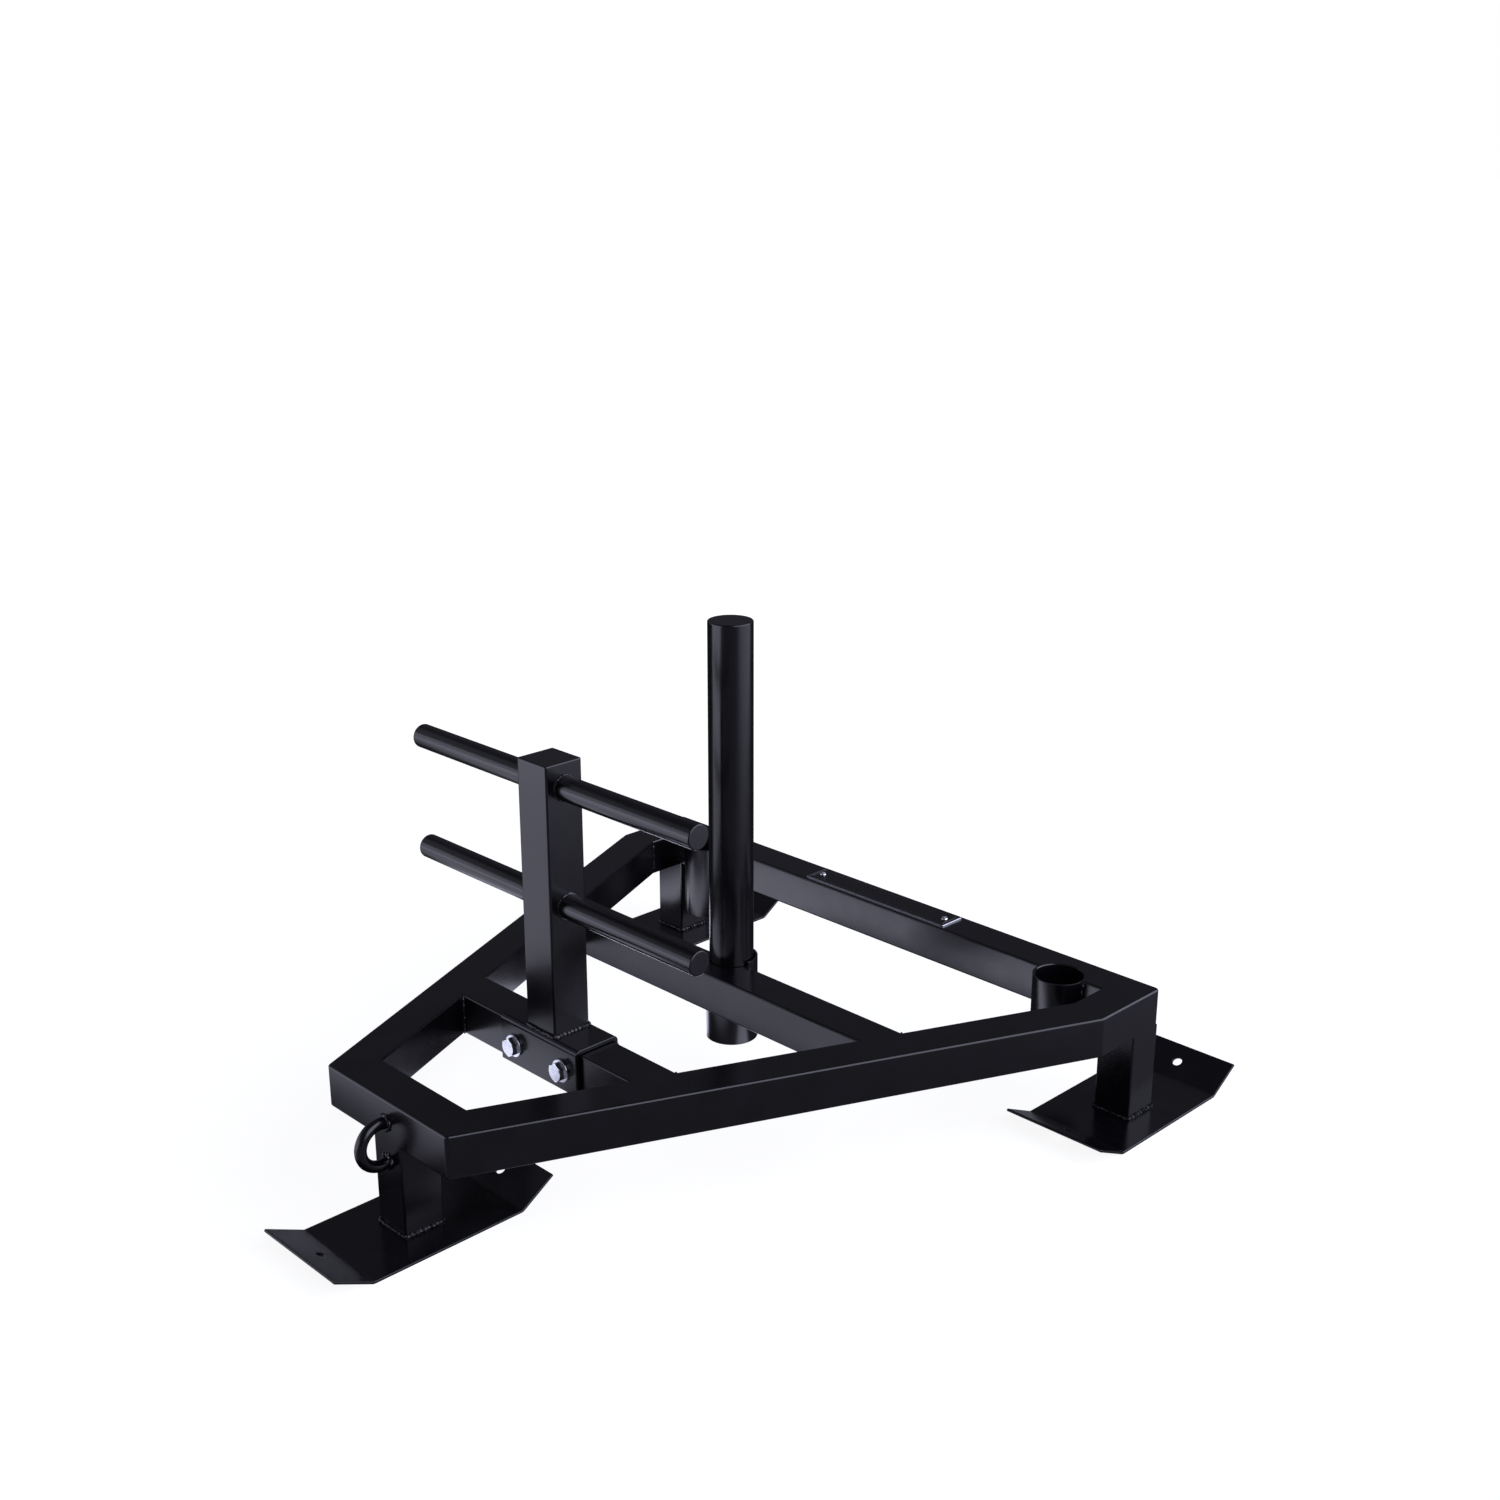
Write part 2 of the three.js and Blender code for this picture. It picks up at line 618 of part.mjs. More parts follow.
// Hex bolt: head above the origin along Z, shank below it
function boltGeometry() {
  const shank = revolve([
    [0, -BOLT_LENGTH],
    [BOLT_DIAMETER / 2 - HEX_CHAMFER, -BOLT_LENGTH],
    [BOLT_DIAMETER / 2, HEX_CHAMFER - BOLT_LENGTH],
    [BOLT_DIAMETER / 2, BOLT_HEAD_HEIGHT / 2],
    [0, BOLT_HEAD_HEIGHT / 2],
  ], SMALL_ROUND_STEPS);
  return join(hexBlock(BOLT_HEAD_HEIGHT, false), shank);
}

function washerGeometry() {
  const wall = WASHER_DIAMETER / 2 - BOLT_HOLE_RADIUS;
  return roundTube(WASHER_DIAMETER, wall, WASHER_THICKNESS, SMALL_ROUND_STEPS);
}

function nutGeometry() {
  const bore = cylinder(BOLT_DIAMETER / 2 + SEAM, 2 * NUT_HEIGHT + 2 * OVERRUN, SMALL_ROUND_STEPS);
  return cut(hexBlock(NUT_HEIGHT, true), [bore]);
}

// Two bolts through saddle and crossbar, heads to the front
function addSaddleBolts() {
  const forward = [QUARTER_TURN, 0, 0];
  const rearward = [-QUARTER_TURN, 0, 0];
  const washerOut = SADDLE_FACE + SEAM + WASHER_THICKNESS / 2;
  [["left", -BOLT_X], ["right", BOLT_X]].forEach(([place, x]) => {
    const at = (out) => [x, CROSSBAR_Y + out, FRAME_MIDDLE];
    addPiece(`${place}_saddle_bolt`, boltGeometry(), zincPlate, at(-BOLT_SEAT), forward);
    addPiece(`${place}_bolt_front_washer`, washerGeometry(), zincPlate, at(-washerOut), forward);
    addPiece(`${place}_bolt_rear_washer`, washerGeometry(), zincPlate, at(washerOut), rearward);
    addPiece(`${place}_bolt_nut`, nutGeometry(), zincPlate, at(BOLT_SEAT), rearward);
  });
}

// Weight post: a round tube closed by a top plug and a foot plug, standing on the sleeve floor
function addWeightPost() {
  const bottom = SLEEVE_BOTTOM + SLEEVE_FLOOR + SEAM;
  const top = FRAME_TOP + POST_RISE;
  const tubeLength = top - bottom - 2 * (POST_PLUG_THICKNESS + SEAM);
  const plug = () => roundPlug(
    POST_DIAMETER,
    POST_WALL,
    POST_PLUG_THICKNESS,
    POST_SPIGOT_LENGTH,
    POST_CHAMFER,
    ROUND_STEPS,
  );
  const tube = roundTube(POST_DIAMETER, POST_WALL, tubeLength, ROUND_STEPS);
  addPiece("weight_post", tube, blackPaint, [0, WEIGHT_SLEEVE_Y, (bottom + top) / 2]);
  addPiece("weight_post_cap", plug(), blackPaint, [0, WEIGHT_SLEEVE_Y, top]);
  addPiece("weight_post_foot", plug(), blackPaint, [0, WEIGHT_SLEEVE_Y, bottom], [HALF_TURN, 0, 0]);
}

// Blank plate on the rear bar, held by two dome rivets
function addNamePlate() {
  const outline = roundedRectangle(THREE.Shape, PLATE_LENGTH, PLATE_DEPTH, PLATE_CORNER);
  [-PLATE_RIVET_X, PLATE_RIVET_X].forEach((x) => {
    const hole = new THREE.Path();
    hole.absarc(x, 0, RIVET_DIAMETER / 2 + RIVET_CLEARANCE, 0, 2 * HALF_TURN);
    outline.holes.push(hole);
  });
  const plate = new THREE.ExtrudeGeometry(outline, {
    depth: PLATE_THICKNESS,
    bevelEnabled: false,
    curveSegments: CORNER_STEPS,
  });
  const middleY = REAR_FACE - TUBE / 2;
  const seat = FRAME_TOP + SEAM;
  addPiece("name_plate", plate, barePlate, [0, middleY, seat]);

  const headLevel = seat + PLATE_THICKNESS + SEAM;
  const half = RIVET_HEAD_DIAMETER / 2;
  const dome = [];
  for (let step = 0; step <= CORNER_STEPS; step += 1) {
    const angle = (QUARTER_TURN * step) / CORNER_STEPS;
    dome.push([half * Math.cos(angle), RIVET_HEAD_HEIGHT * Math.sin(angle)]);
  }
  dome[CORNER_STEPS][0] = 0;
  const tail = -(PLATE_THICKNESS + RIVET_GRIP);
  const profile = [[0, tail], [RIVET_DIAMETER / 2, tail], [RIVET_DIAMETER / 2, 0], ...dome];
  [["left", -PLATE_RIVET_X], ["right", PLATE_RIVET_X]].forEach(([place, x]) => {
    const rivet = revolve(profile, SMALL_ROUND_STEPS);
    addPiece(`${place}_plate_rivet`, rivet, zincPlate, [x, middleY, headLevel]);
  });
}

addFrame();
addCrossTubes();
addLegsAndSkis();
addSleeves();
addTowEye();
addSaddle();
addMast();
addHandles();
addSaddleBolts();
addWeightPost();
addNamePlate();

export default sled;
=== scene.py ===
"""Push sled as it leaves the coating shop: satin black tube, bright zinc bolts and a blank name plate.

Metres. X is across the sled, Y runs from the tow eye to the rear bar, Z is up from the floor.
"""

import math
from functools import partial

import bmesh
import bpy
from bpy.props import FloatProperty, FloatVectorProperty, PointerProperty
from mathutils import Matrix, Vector, noise


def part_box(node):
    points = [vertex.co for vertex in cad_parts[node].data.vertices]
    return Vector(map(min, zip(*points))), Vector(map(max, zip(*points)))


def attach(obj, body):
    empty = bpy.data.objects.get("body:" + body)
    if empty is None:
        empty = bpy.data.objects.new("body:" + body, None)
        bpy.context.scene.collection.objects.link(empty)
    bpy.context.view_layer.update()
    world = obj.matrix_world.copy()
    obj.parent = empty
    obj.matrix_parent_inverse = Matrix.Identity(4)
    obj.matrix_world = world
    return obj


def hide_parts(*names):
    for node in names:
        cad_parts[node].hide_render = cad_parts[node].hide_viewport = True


bl_info = {
    "name": "Push Sled",
    "version": (1, 0, 0),
    "blender": (4, 5, 0),
    "location": "View3D > Sidebar > Push Sled",
    "description": "Builds the coated tubes, skis, mast, bolts, post and welds of a push sled",
    "category": "Object",
}

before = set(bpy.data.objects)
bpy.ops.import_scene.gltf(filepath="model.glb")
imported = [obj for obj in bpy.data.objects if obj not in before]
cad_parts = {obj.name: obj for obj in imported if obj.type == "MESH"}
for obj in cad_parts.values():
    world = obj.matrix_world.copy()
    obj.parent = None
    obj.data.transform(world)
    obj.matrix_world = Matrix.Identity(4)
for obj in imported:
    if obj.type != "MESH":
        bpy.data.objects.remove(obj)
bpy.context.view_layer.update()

MM = 0.001
TURN = 2 * math.pi
QUARTER = math.pi / 2
FACET = TURN / 6
RIGHT = Vector((1, 0, 0))
REARWARD = Vector((0, 1, 0))
UP = Vector((0, 0, 1))
SIDES = (("left", -1), ("right", 1))

BLACK_SLOT = "black_powder_coat"
ZINC_SLOT = "bright_zinc"
PLATE_SLOT = "name_plate_finish"

# Steps of round forms: a full turn, a tube's corner, a sheet's bend, an eased edge, one pitch of thread and
# a turn of round bar; points nearer than the merge distance are one
ROUND_STEPS = 96
CORNER_STEPS = 8
BEND_STEPS = 12
EASE_STEPS = 4
THREAD_STEPS = 8
BAR_STEPS = 32
MERGE_DISTANCE = MM / 1000
SHARP_ANGLE = math.radians(32)
BOLT_SHARP_ANGLE = math.radians(24)

# Weld beads: points round a bead, rings along each ripple, how far a ripple's sides trail its crown, the
# width and share of its lumps, its size at an open end, and how far it stands off a round joint
BEAD_SIDES = 14
RIPPLE_RINGS = 7
RIPPLE_LAG = 0.35
LUMP_WIDTH = 3.5 * MM
LUMP_SHARE = 0.22
BEAD_END = 0.35
BEAD_STANDOFF = 0.5 * MM


# Sizes taken from the loaded frame


def low(node):
    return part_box(node)[0]


def high(node):
    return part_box(node)[1]


def middle(node):
    return (Vector(low(node)) + Vector(high(node))) / 2


def half_width(node):
    return (high(node).x - low(node).x) / 2


def axle(node, level=0):
    """The point of a node's upright axis at a level."""
    return Vector((*middle(node).to_2d(), level))


FRONT_FACE = low("front_bar").y
REAR_FACE = high("rear_bar").y
HALF_WIDTH = high("right_rear_rail").x
FRAME_TOP = high("front_bar").z
FRAME_UNDERSIDE = low("front_bar").z
TUBE = FRAME_TOP - FRAME_UNDERSIDE
HALF_TUBE = TUBE / 2
FRAME_MIDDLE = FRAME_UNDERSIDE + HALF_TUBE


def frame_outline():
    """Outside corners of the frame in plan, anticlockwise from the front left."""
    rail = [vertex.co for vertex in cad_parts["right_side_rail"].data.vertices]
    front = min(rail, key=lambda point: point.y)
    rear = max(rail, key=lambda point: point.x)
    slope = (rear.x - front.x) / (rear.y - front.y)
    half_front = front.x + (FRONT_FACE - front.y) * slope
    knee = front.y + (HALF_WIDTH - front.x) / slope
    right = [(half_front, FRONT_FACE), (HALF_WIDTH, knee), (HALF_WIDTH, REAR_FACE)]
    left = [(-x, y) for x, y in reversed(right)]
    return [Vector(point) for point in [left[2], *right, *left[:2]]]


OUTLINE = frame_outline()


def mitre_point(corner, depth):
    """The point of a corner's mitre that lies at a depth inside the outside faces."""
    here = OUTLINE[corner % len(OUTLINE)]
    arriving = (here - OUTLINE[(corner - 1) % len(OUTLINE)]).normalized()
    leaving = (OUTLINE[(corner + 1) % len(OUTLINE)] - here).normalized()
    inward = Vector((-arriving.y - leaving.y, arriving.x + leaving.x))
    return here + inward * depth / (1 + arriving.dot(leaving))


def side_rail_x(y, depth):
    """X of the right side rail at a depth inside its outside face, at a place along the sled."""
    front, rear = mitre_point(1, depth), mitre_point(2, depth)
    return front.x + (y - front.y) * (rear.x - front.x) / (rear.y - front.y)


# Settings that a user can change


def linear(hex_colour):
    """An sRGB hex colour as linear red, green and blue."""
    channels = [int(hex_colour[i:i + 2], 16) / 255 for i in (1, 3, 5)]
    return tuple(c / 12.92 if c <= 0.04045 else ((c + 0.055) / 1.055) ** 2.4 for c in channels)


def length(name, description, default):
    return FloatProperty(
        name=name, description=description, default=default, precision=5, subtype="DISTANCE", unit="LENGTH",
    )


def colour(name, description, hex_colour):
    return FloatVectorProperty(
        name=name, description=description, default=(*linear(hex_colour), 1), size=4, min=0, max=1,
        subtype="COLOR",
    )


def factor(name, description, default):
    return FloatProperty(
        name=name, description=description, default=default, min=0, max=1, subtype="FACTOR",
    )


def brightness(name, description, default):
    return FloatProperty(name=name, description=description, default=default, min=0)


def angle(name, description, degrees):
    turn = math.radians(degrees)
    return FloatProperty(name=name, description=description, default=turn, subtype="ANGLE")


class SledSizes(bpy.types.PropertyGroup):
    """Sizes of the sled that its loaded frame doesn't give"""

    tube_corner: length("Tube corner", "Outside corner radius of the square tube", 2.5 * MM)
    mitre_edge: length("Mitre edge", "Radius that the frame's outside mitres were ground to", 5.5 * MM)
    sheet_edge: length("Sheet edge", "Rounding that the coating leaves on a cut sheet's edges", 1.1 * MM)
    turned_edge: length("Turned edge", "Rounding on the rims of sleeves and washers", 0.5 * MM)
    lead_in: length("Lead-in", "Chamfer inside the mouth of a sleeve", 1 * MM)
    lid_edge: length("Lid edge", "Rounding where the mast's lid was ground flush", 1.6 * MM)
    plug_edge: length("Plug edge", "Rounding on the ends of the handles and the post", 1.5 * MM)
    ski_sheet: length("Ski sheet", "Sheet thickness of the skis", 3 * MM)
    ski_bend: length("Ski bend", "Inside radius of a ski's folds", 5 * MM)
    ski_tip: length("Ski tip", "Length of a ski's tip beyond its fold", 46 * MM)
    ski_hole: length("Ski hole", "Diameter of the hole in each ski tip", 11 * MM)
    ski_flat: length("Ski flat", "Length of a ski between its two folds", 173 * MM)
    ski_front_angle: angle("Front angle", "How far a ski's front tip is folded up", 25)
    ski_front_hole: length("Front hole", "From the front fold to the hole beyond it", 20 * MM)
    ski_rear_angle: angle("Rear angle", "How far a ski's rear tip is folded up", 32.5)
    ski_rear_hole: length("Rear hole", "From the rear fold to the hole beyond it", 23.5 * MM)
    saddle_sheet: length("Saddle sheet", "Sheet thickness of the mast's saddle", 4.8 * MM)
    saddle_bend: length("Saddle bend", "Inside radius of the saddle's folds", 1.2 * MM)
    sleeve_wall: length("Sleeve wall", "Wall of the three round sleeves", 3 * MM)
    hex_flats: length("Hexagon", "Width across flats of bolt heads and nuts", 18 * MM)
    bolt_hole: length("Bolt hole", "Diameter of the holes that the bolts pass", 13 * MM)
    thread: length("Thread", "Outside diameter of the bolts' thread", 12 * MM)
    thread_pitch: length("Thread pitch", "Pitch of the bolts' thread", 1.75 * MM)
    thread_depth: length("Thread depth", "Depth of the bolts' thread", 1 * MM)
    thread_length: length("Thread length", "Length of thread at the end of a bolt", 18 * MM)
    eye_bar: length("Eye bar", "Diameter of the tow eye's bar", 12 * MM)
    bead: length("Weld bead", "Radius of the weld beads", 3 * MM)
    ripple: length("Ripple pitch", "Length of one ripple of a weld bead", 4.6 * MM)
    ripple_depth: factor("Ripple depth", "How far a ripple falls, as a share of the bead's radius", 0.3)


class SledFinishes(bpy.types.PropertyGroup):
    """Colours and surface grain of the sled's finishes"""

    coat: colour("Powder coat", "Satin black powder coat", "#050507")
    coat_thin: colour("Thin coat", "Powder coat where it lies thinner", "#09090d")
    coat_roughness: factor("Coat roughness", "Roughness of the powder coat", 0.21)
    peel_grain: length("Orange peel", "Width of one bump of the coat's orange peel", 3 * MM)
    peel_height: length("Peel height", "Height of the coat's orange peel", 0.012 * MM)
    zinc: colour("Zinc", "Bright zinc plate", "#e6e8ec")
    zinc_dull: colour("Dull zinc", "Zinc plate in hollows and scratches", "#a9adb3")
    steel: colour("Bare steel", "Steel rubbed bare on the skis' soles", "#8b8b88")
    enamel: colour("Enamel", "Black enamel of the name plate", "#0c0c0e")
    milled: colour("Milled edge", "Bare aluminium edge of the name plate", "#d9dadd")


class SledStudio(bpy.types.PropertyGroup):
    """Camera and light of the studio"""

    camera_place: FloatVectorProperty(
        name="Camera place", description="Where the camera stands", default=(1.35365, -1.21459, 0.99987),
        precision=5, subtype="TRANSLATION", unit="LENGTH",
    )
    azimuth: angle("Azimuth", "Camera's turn round the sled from its front", 45.453)
    elevation: angle("Elevation", "Camera's height above the horizon", 18.06)
    lens: FloatProperty(name="Lens", description="Focal length of the camera in millimetres", default=44.39)
    sensor: FloatProperty(name="Sensor", description="Width of its sensor in millimetres", default=36)
    floor_reach: length("Floor reach", "Half the width of the pale floor", 60)
    floor: colour("Floor", "Paint of the pale floor", "#7a7c80")
    floor_glow: factor("Floor glow", "Light of the floor itself, which keeps the sled's shadow faint", 0.91)
    # Brightnesses of the glow painted on the floor where reflections see it: painted light, not light of
    # the lamps
    left_floor: brightness("Left floor", "Lit floor to the front left, as the sled reflects it", 1.35)
    inner_floor: brightness("Inner floor", "Lit floor before the rear bar, as the bar reflects it", 2.8)
    right_floor: brightness("Right floor", "Floor to the right, as the sled reflects it", 0.21)
    far_floor: brightness("Far floor", "What the floor gains far to the right and rear", 0.6)
    surround: brightness("Surround", "Dim room that the sled reflects", 0.1)
    tint: colour("Lamp tint", "Colour of the lamps and the room", "#e6e7ff")
    lamp_distance: length("Lamp distance", "How far the soft boxes stand from the sled", 6)
    left_lamp: brightness("Left lamp", "Soft box to the front left", 1.4)
    left_fill: brightness("Left fill", "Soft box over it", 0.25)
    right_lamp: brightness("Right lamp", "Soft box to the right", 3.1)


# Materials


COLOUR = {"data_type": "RGBA"}
SMOOTH = {"interpolation_type": "SMOOTHSTEP"}


def add_node(tree, kind, inputs=(), output=None, **settings):
    """Adds a node with its settings and gives one of its outputs, the first in use unless one is named.

    Inputs are values, or sockets to link, by name or in the order of the node's own sockets.
    """
    node = tree.nodes.new(f"ShaderNode{kind}")
    for name, value in settings.items():
        setattr(node, name, value)
    if not isinstance(inputs, dict):
        inputs = dict(zip([socket.identifier for socket in node.inputs], inputs))
    fill(node, inputs)
    return next((s for s in node.outputs if s.enabled and output in (None, s.name)), node)


def fill(node, inputs):
    """Gives inputs of a node, by name, their values or links."""
    for name, value in inputs.items():
        socket = next(s for s in node.inputs if name in (s.identifier, s.name))
        if isinstance(value, bpy.types.NodeSocket):
            node.id_data.links.new(value, socket)
        else:
            socket.default_value = value


def new_nodes(owner):
    """Clears the nodes of a material or a world, and gives the way to add new ones."""
    owner.use_nodes = True
    owner.node_tree.nodes.clear()
    return partial(add_node, owner.node_tree)


def finish(maker):
    """The finish that a maker mixes on a bare surface shader, mixed once and named as its maker is."""
    name = maker.__name__
    if name not in bpy.data.materials:
        add = new_nodes(bpy.data.materials.new(name))
        shader = add("BsdfPrincipled")
        add("OutputMaterial", (shader,))
        maker(add, shader.node, add("TexCoord", output="Object"), bpy.context.scene.sled_finishes)
    return bpy.data.materials[name]


# Polyester powder coat, sprayed dry and baked: a closed satin film with orange peel, darker where it is
# thick. It lies in slow waves over the drawn tube, so reflections of the lamps waver a little.
def black_powder_coat_satin(add, surface, place, finishes, roughness=0.0, peel=1.0):
    flow = add("TexNoise", {"Vector": place, "Scale": 1 / (32 * MM), "Detail": 3})
    wave = add("TexNoise", {"Vector": place, "Scale": 1 / (24 * MM), "Detail": 0})
    grain = add("TexNoise", {"Vector": place, "Scale": 1 / (finishes.peel_grain * peel), "Detail": 1.5})
    # Real specks of unmelted powder are 0.1 mm; these are 1 mm, so that they show
    specks = add("TexNoise", {"Vector": place, "Scale": 1 / (1 * MM), "Detail": 0})
    thinness = add("MapRange", {"Value": flow, "From Min": 0.35, "From Max": 0.7})
    tone = add("Mix", {
        "Factor_Float": thinness, "A_Color": finishes.coat, "B_Color": finishes.coat_thin,
    }, **COLOUR)
    base = finishes.coat_roughness + roughness
    gloss = add("MapRange", {
        "Value": flow, "From Min": 0.3, "From Max": 0.7, "To Min": base - 0.02, "To Max": base + 0.02,
    })
    speckled = add("MapRange", {"Value": specks, "From Min": 0.62, "From Max": 0.75, "To Max": 0.04})
    duller = add("Math", (gloss, speckled), operation="ADD")
    waves = add("Bump", {"Height": wave, "Distance": 0.05 * MM})
    skin_bump = add("Bump", {"Height": grain, "Distance": finishes.peel_height * peel, "Normal": waves})
    fill(surface, {"Base Color": tone, "Roughness": duller, "IOR": 1.5, "Normal": skin_bump})


# The same powder over weld metal: it bridges the ripples unevenly, so the beads look rougher and duller
def black_powder_coat_on_weld(*bare):
    black_powder_coat_satin(*bare, roughness=0.02, peel=0.6)


# The same powder on the skis, scoured off the soles in streaks along the run, down to grey steel
def black_powder_coat_scuffed_sole(add, surface, place, finishes):
    black_powder_coat_satin(add, surface, place, finishes)
    drawn_out = add("Mapping", {"Vector": place, "Scale": (1, 1 / 40, 1)})
    streaks = add("TexNoise", {"Vector": drawn_out, "Scale": 1 / (2.5 * MM), "Detail": 4})
    height = add("SeparateXYZ", {"Vector": place}, "Z")
    on_sole = add("MapRange", {"Value": height, "From Min": 0.9 * MM, "From Max": 0.1 * MM})
    bare = add("MapRange", {"Value": streaks, "From Min": 0.48, "From Max": 0.62})
    worn = add("Math", (on_sole, bare), operation="MULTIPLY")
    coat = surface.inputs["Base Color"].links[0].from_socket
    tone = add("Mix", {"Factor_Float": worn, "A_Color": coat, "B_Color": finishes.steel}, **COLOUR)
    fill(surface, {"Base Color": tone, "Metallic": worn})


# The same powder on the post, with faint upright rub marks from plates that slid over it
def black_powder_coat_rubbed_post(add, surface, place, finishes):
    black_powder_coat_satin(add, surface, place, finishes)
    drawn_out = add("Mapping", {"Vector": place, "Scale": (1, 1, 1 / 60)})
    rubs = add("TexNoise", {"Vector": drawn_out, "Scale": 1 / (1.6 * MM), "Detail": 3})
    marks = add("MapRange", {"Value": rubs, "From Min": 0.58, "From Max": 0.78, "To Max": 0.05})
    coat = surface.inputs["Roughness"].links[0].from_socket
    fill(surface, {"Roughness": add("Math", (coat, marks), operation="ADD")})


# Bright zinc, electroplated on machined steel: a hard bluish mirror, softened by handling scratches
def bright_zinc_plate(add, surface, place, finishes):
    clouds = add("TexNoise", {"Vector": place, "Scale": 1 / (4 * MM), "Detail": 3})
    drawn_out = add("Mapping", {"Vector": place, "Scale": (1 / 12, 1, 1)})
    scratches = add("TexNoise", {"Vector": drawn_out, "Scale": 1 / (0.6 * MM), "Detail": 2})
    dull = add("MapRange", {"Value": clouds, "From Min": 0.45, "From Max": 0.75, "To Max": 0.5})
    tone = add("Mix", {
        "Factor_Float": dull, "A_Color": finishes.zinc, "B_Color": finishes.zinc_dull,
    }, **COLOUR)
    gloss = add("MapRange", {
        "Value": scratches, "From Min": 0.4, "From Max": 0.7, "To Min": 0.12, "To Max": 0.22,
    })
    hairlines = add("Bump", {"Height": scratches, "Distance": 0.01 * MM})
    fill(surface, {"Base Color": tone, "Metallic": 1, "Roughness": gloss, "Normal": hairlines})


# Stoved black enamel on sheet aluminium: thin, hard and glossier than the powder coat round it
def black_stoved_enamel(add, surface, place, finishes):
    clouds = add("TexNoise", {"Vector": place, "Scale": 1 / (18 * MM), "Detail": 3})
    dust = add("TexNoise", {"Vector": place, "Scale": 1 / (1.2 * MM), "Detail": 1})
    tone = add("Mix", {
        "Factor_Float": clouds, "A_Color": finishes.enamel, "B_Color": finishes.coat,
    }, **COLOUR)
    gloss = add("MapRange", {
        "Value": dust, "From Min": 0.3, "From Max": 0.75, "To Min": 0.24, "To Max": 0.34,
    })
    film = add("Bump", {"Height": dust, "Distance": 0.008 * MM})
    fill(surface, {"Base Color": tone, "Roughness": gloss, "IOR": 1.52, "Normal": film})


# Aluminium milled bare round the plate's panel: fine cutter lines along its length, white in the light
def milled_aluminium(add, surface, place, finishes):
    drawn_out = add("Mapping", {"Vector": place, "Scale": (1 / 30, 1, 1)})
    lines = add("TexNoise", {"Vector": drawn_out, "Scale": 1 / (0.5 * MM), "Detail": 2})
    tone = add("Mix", {
        "Factor_Float": lines, "A_Color": finishes.milled, "B_Color": finishes.zinc_dull,
    }, **COLOUR)
    gloss = add("MapRange", {
        "Value": lines, "From Min": 0.3, "From Max": 0.7, "To Min": 0.12, "To Max": 0.2,
    })
    cuts = add("Bump", {"Height": lines, "Distance": 0.02 * MM})
    fill(surface, {"Base Color": tone, "Metallic": 1, "Roughness": gloss, "Normal": cuts})


# Mesh work


def rounded(corners, radius, steps=CORNER_STEPS, closed=True):
    """A line of corners, each turned into an arc; an open line keeps its two ends."""
    points = [Vector(corner) for corner in corners]
    line = []
    for i, here in enumerate(points):
        if not closed and i in (0, len(points) - 1):
            line.append(here)
            continue
        back = (points[i - 1] - here).normalized()
        ahead = (points[(i + 1) % len(points)] - here).normalized()
        half = back.angle(ahead) / 2
        centre = here + (back + ahead).normalized() * radius / math.sin(half)
        start = here + back * radius / math.tan(half) - centre
        end = here + ahead * radius / math.tan(half) - centre
        sweep = start.angle(end)
        for step in range(steps + 1):
            share = step / steps
            first, second = math.sin((1 - share) * sweep), math.sin(share * sweep)
            line.append(centre + (start * first + end * second) / math.sin(sweep))
    return line


def rod(radius, start, end):
    """The profile of a plain round body, for turned."""
    return [(0, start), (radius, start), (radius, end), (0, end)]


def rectangle(half_x, half_y):
    return [(-half_x, -half_y), (half_x, -half_y), (half_x, half_y), (-half_x, half_y)]


def square(side, corner):
    """A square tube's outline about its middle."""
    return rounded(rectangle(side / 2, side / 2), corner)


def folded_sheet(corners, thickness, inside_radius):
    """Outline of a sheet folded along a line of corners, with concentric bends."""
    line = rounded(corners, inside_radius + thickness / 2, BEND_STEPS, closed=False)
    first_face, second_face = [], []
    for i, point in enumerate(line):
        along = line[min(i + 1, len(line) - 1)] - line[max(i - 1, 0)]
        normal = Vector((-along.y, along.x)).normalized() * thickness / 2
        first_face.append(point + normal)
        second_face.append(point - normal)
    return first_face + second_face[::-1]


def skin(rings, loops=False, hollow=True, mesh=None):
    """Joins equal rings of points into a skin.

    Rings that loop end where they began, other ends are closed by a face. Rings that aren't hollow
    start and end on the axis that they are turned about.
    """
    mesh = mesh or bmesh.new()
    rows = [[mesh.verts.new(point) for point in ring] for ring in rings]
    last_row = len(rows) if loops else len(rows) - 1
    last_point = len(rows[0]) if hollow else len(rows[0]) - 1
    for i in range(last_row):
        here, there = rows[i], rows[(i + 1) % len(rows)]
        for j in range(last_point):
            k = (j + 1) % len(here)
            mesh.faces.new((here[j], here[k], there[k], there[j]))
    if not loops:
        mesh.faces.new(rows[0][::-1])
        mesh.faces.new(rows[-1])
    if not hollow:
        bmesh.ops.remove_doubles(mesh, verts=mesh.verts, dist=MERGE_DISTANCE)
    bmesh.ops.recalc_face_normals(mesh, faces=mesh.faces)
    return mesh


def turned(profile, centre, axis, steps=ROUND_STEPS, start=None):
    """A body turned about an axis from points of (radius, distance along the axis).

    The profile may be a function of the angle from the start direction, for hexagons and threads. It
    closes on itself, or starts and ends on the axis.
    """
    first = start or axis.orthogonal().normalized()
    second = axis.cross(first)
    rings = []
    for step in range(steps):
        turn = TURN * step / steps
        out = first * math.cos(turn) + second * math.sin(turn)
        outline = profile(turn) if callable(profile) else profile
        rings.append([centre + out * radius + axis * along for radius, along in outline])
    return skin(rings, loops=True, hollow=outline[0][0] > 0)


def link(name, mesh):
    """A new object in the scene from a finished mesh."""
    data = bpy.data.meshes.new(name)
    mesh.to_mesh(data)
    mesh.free()
    made = bpy.data.objects.new(name, data)
    bpy.context.scene.collection.objects.link(made)
    return made


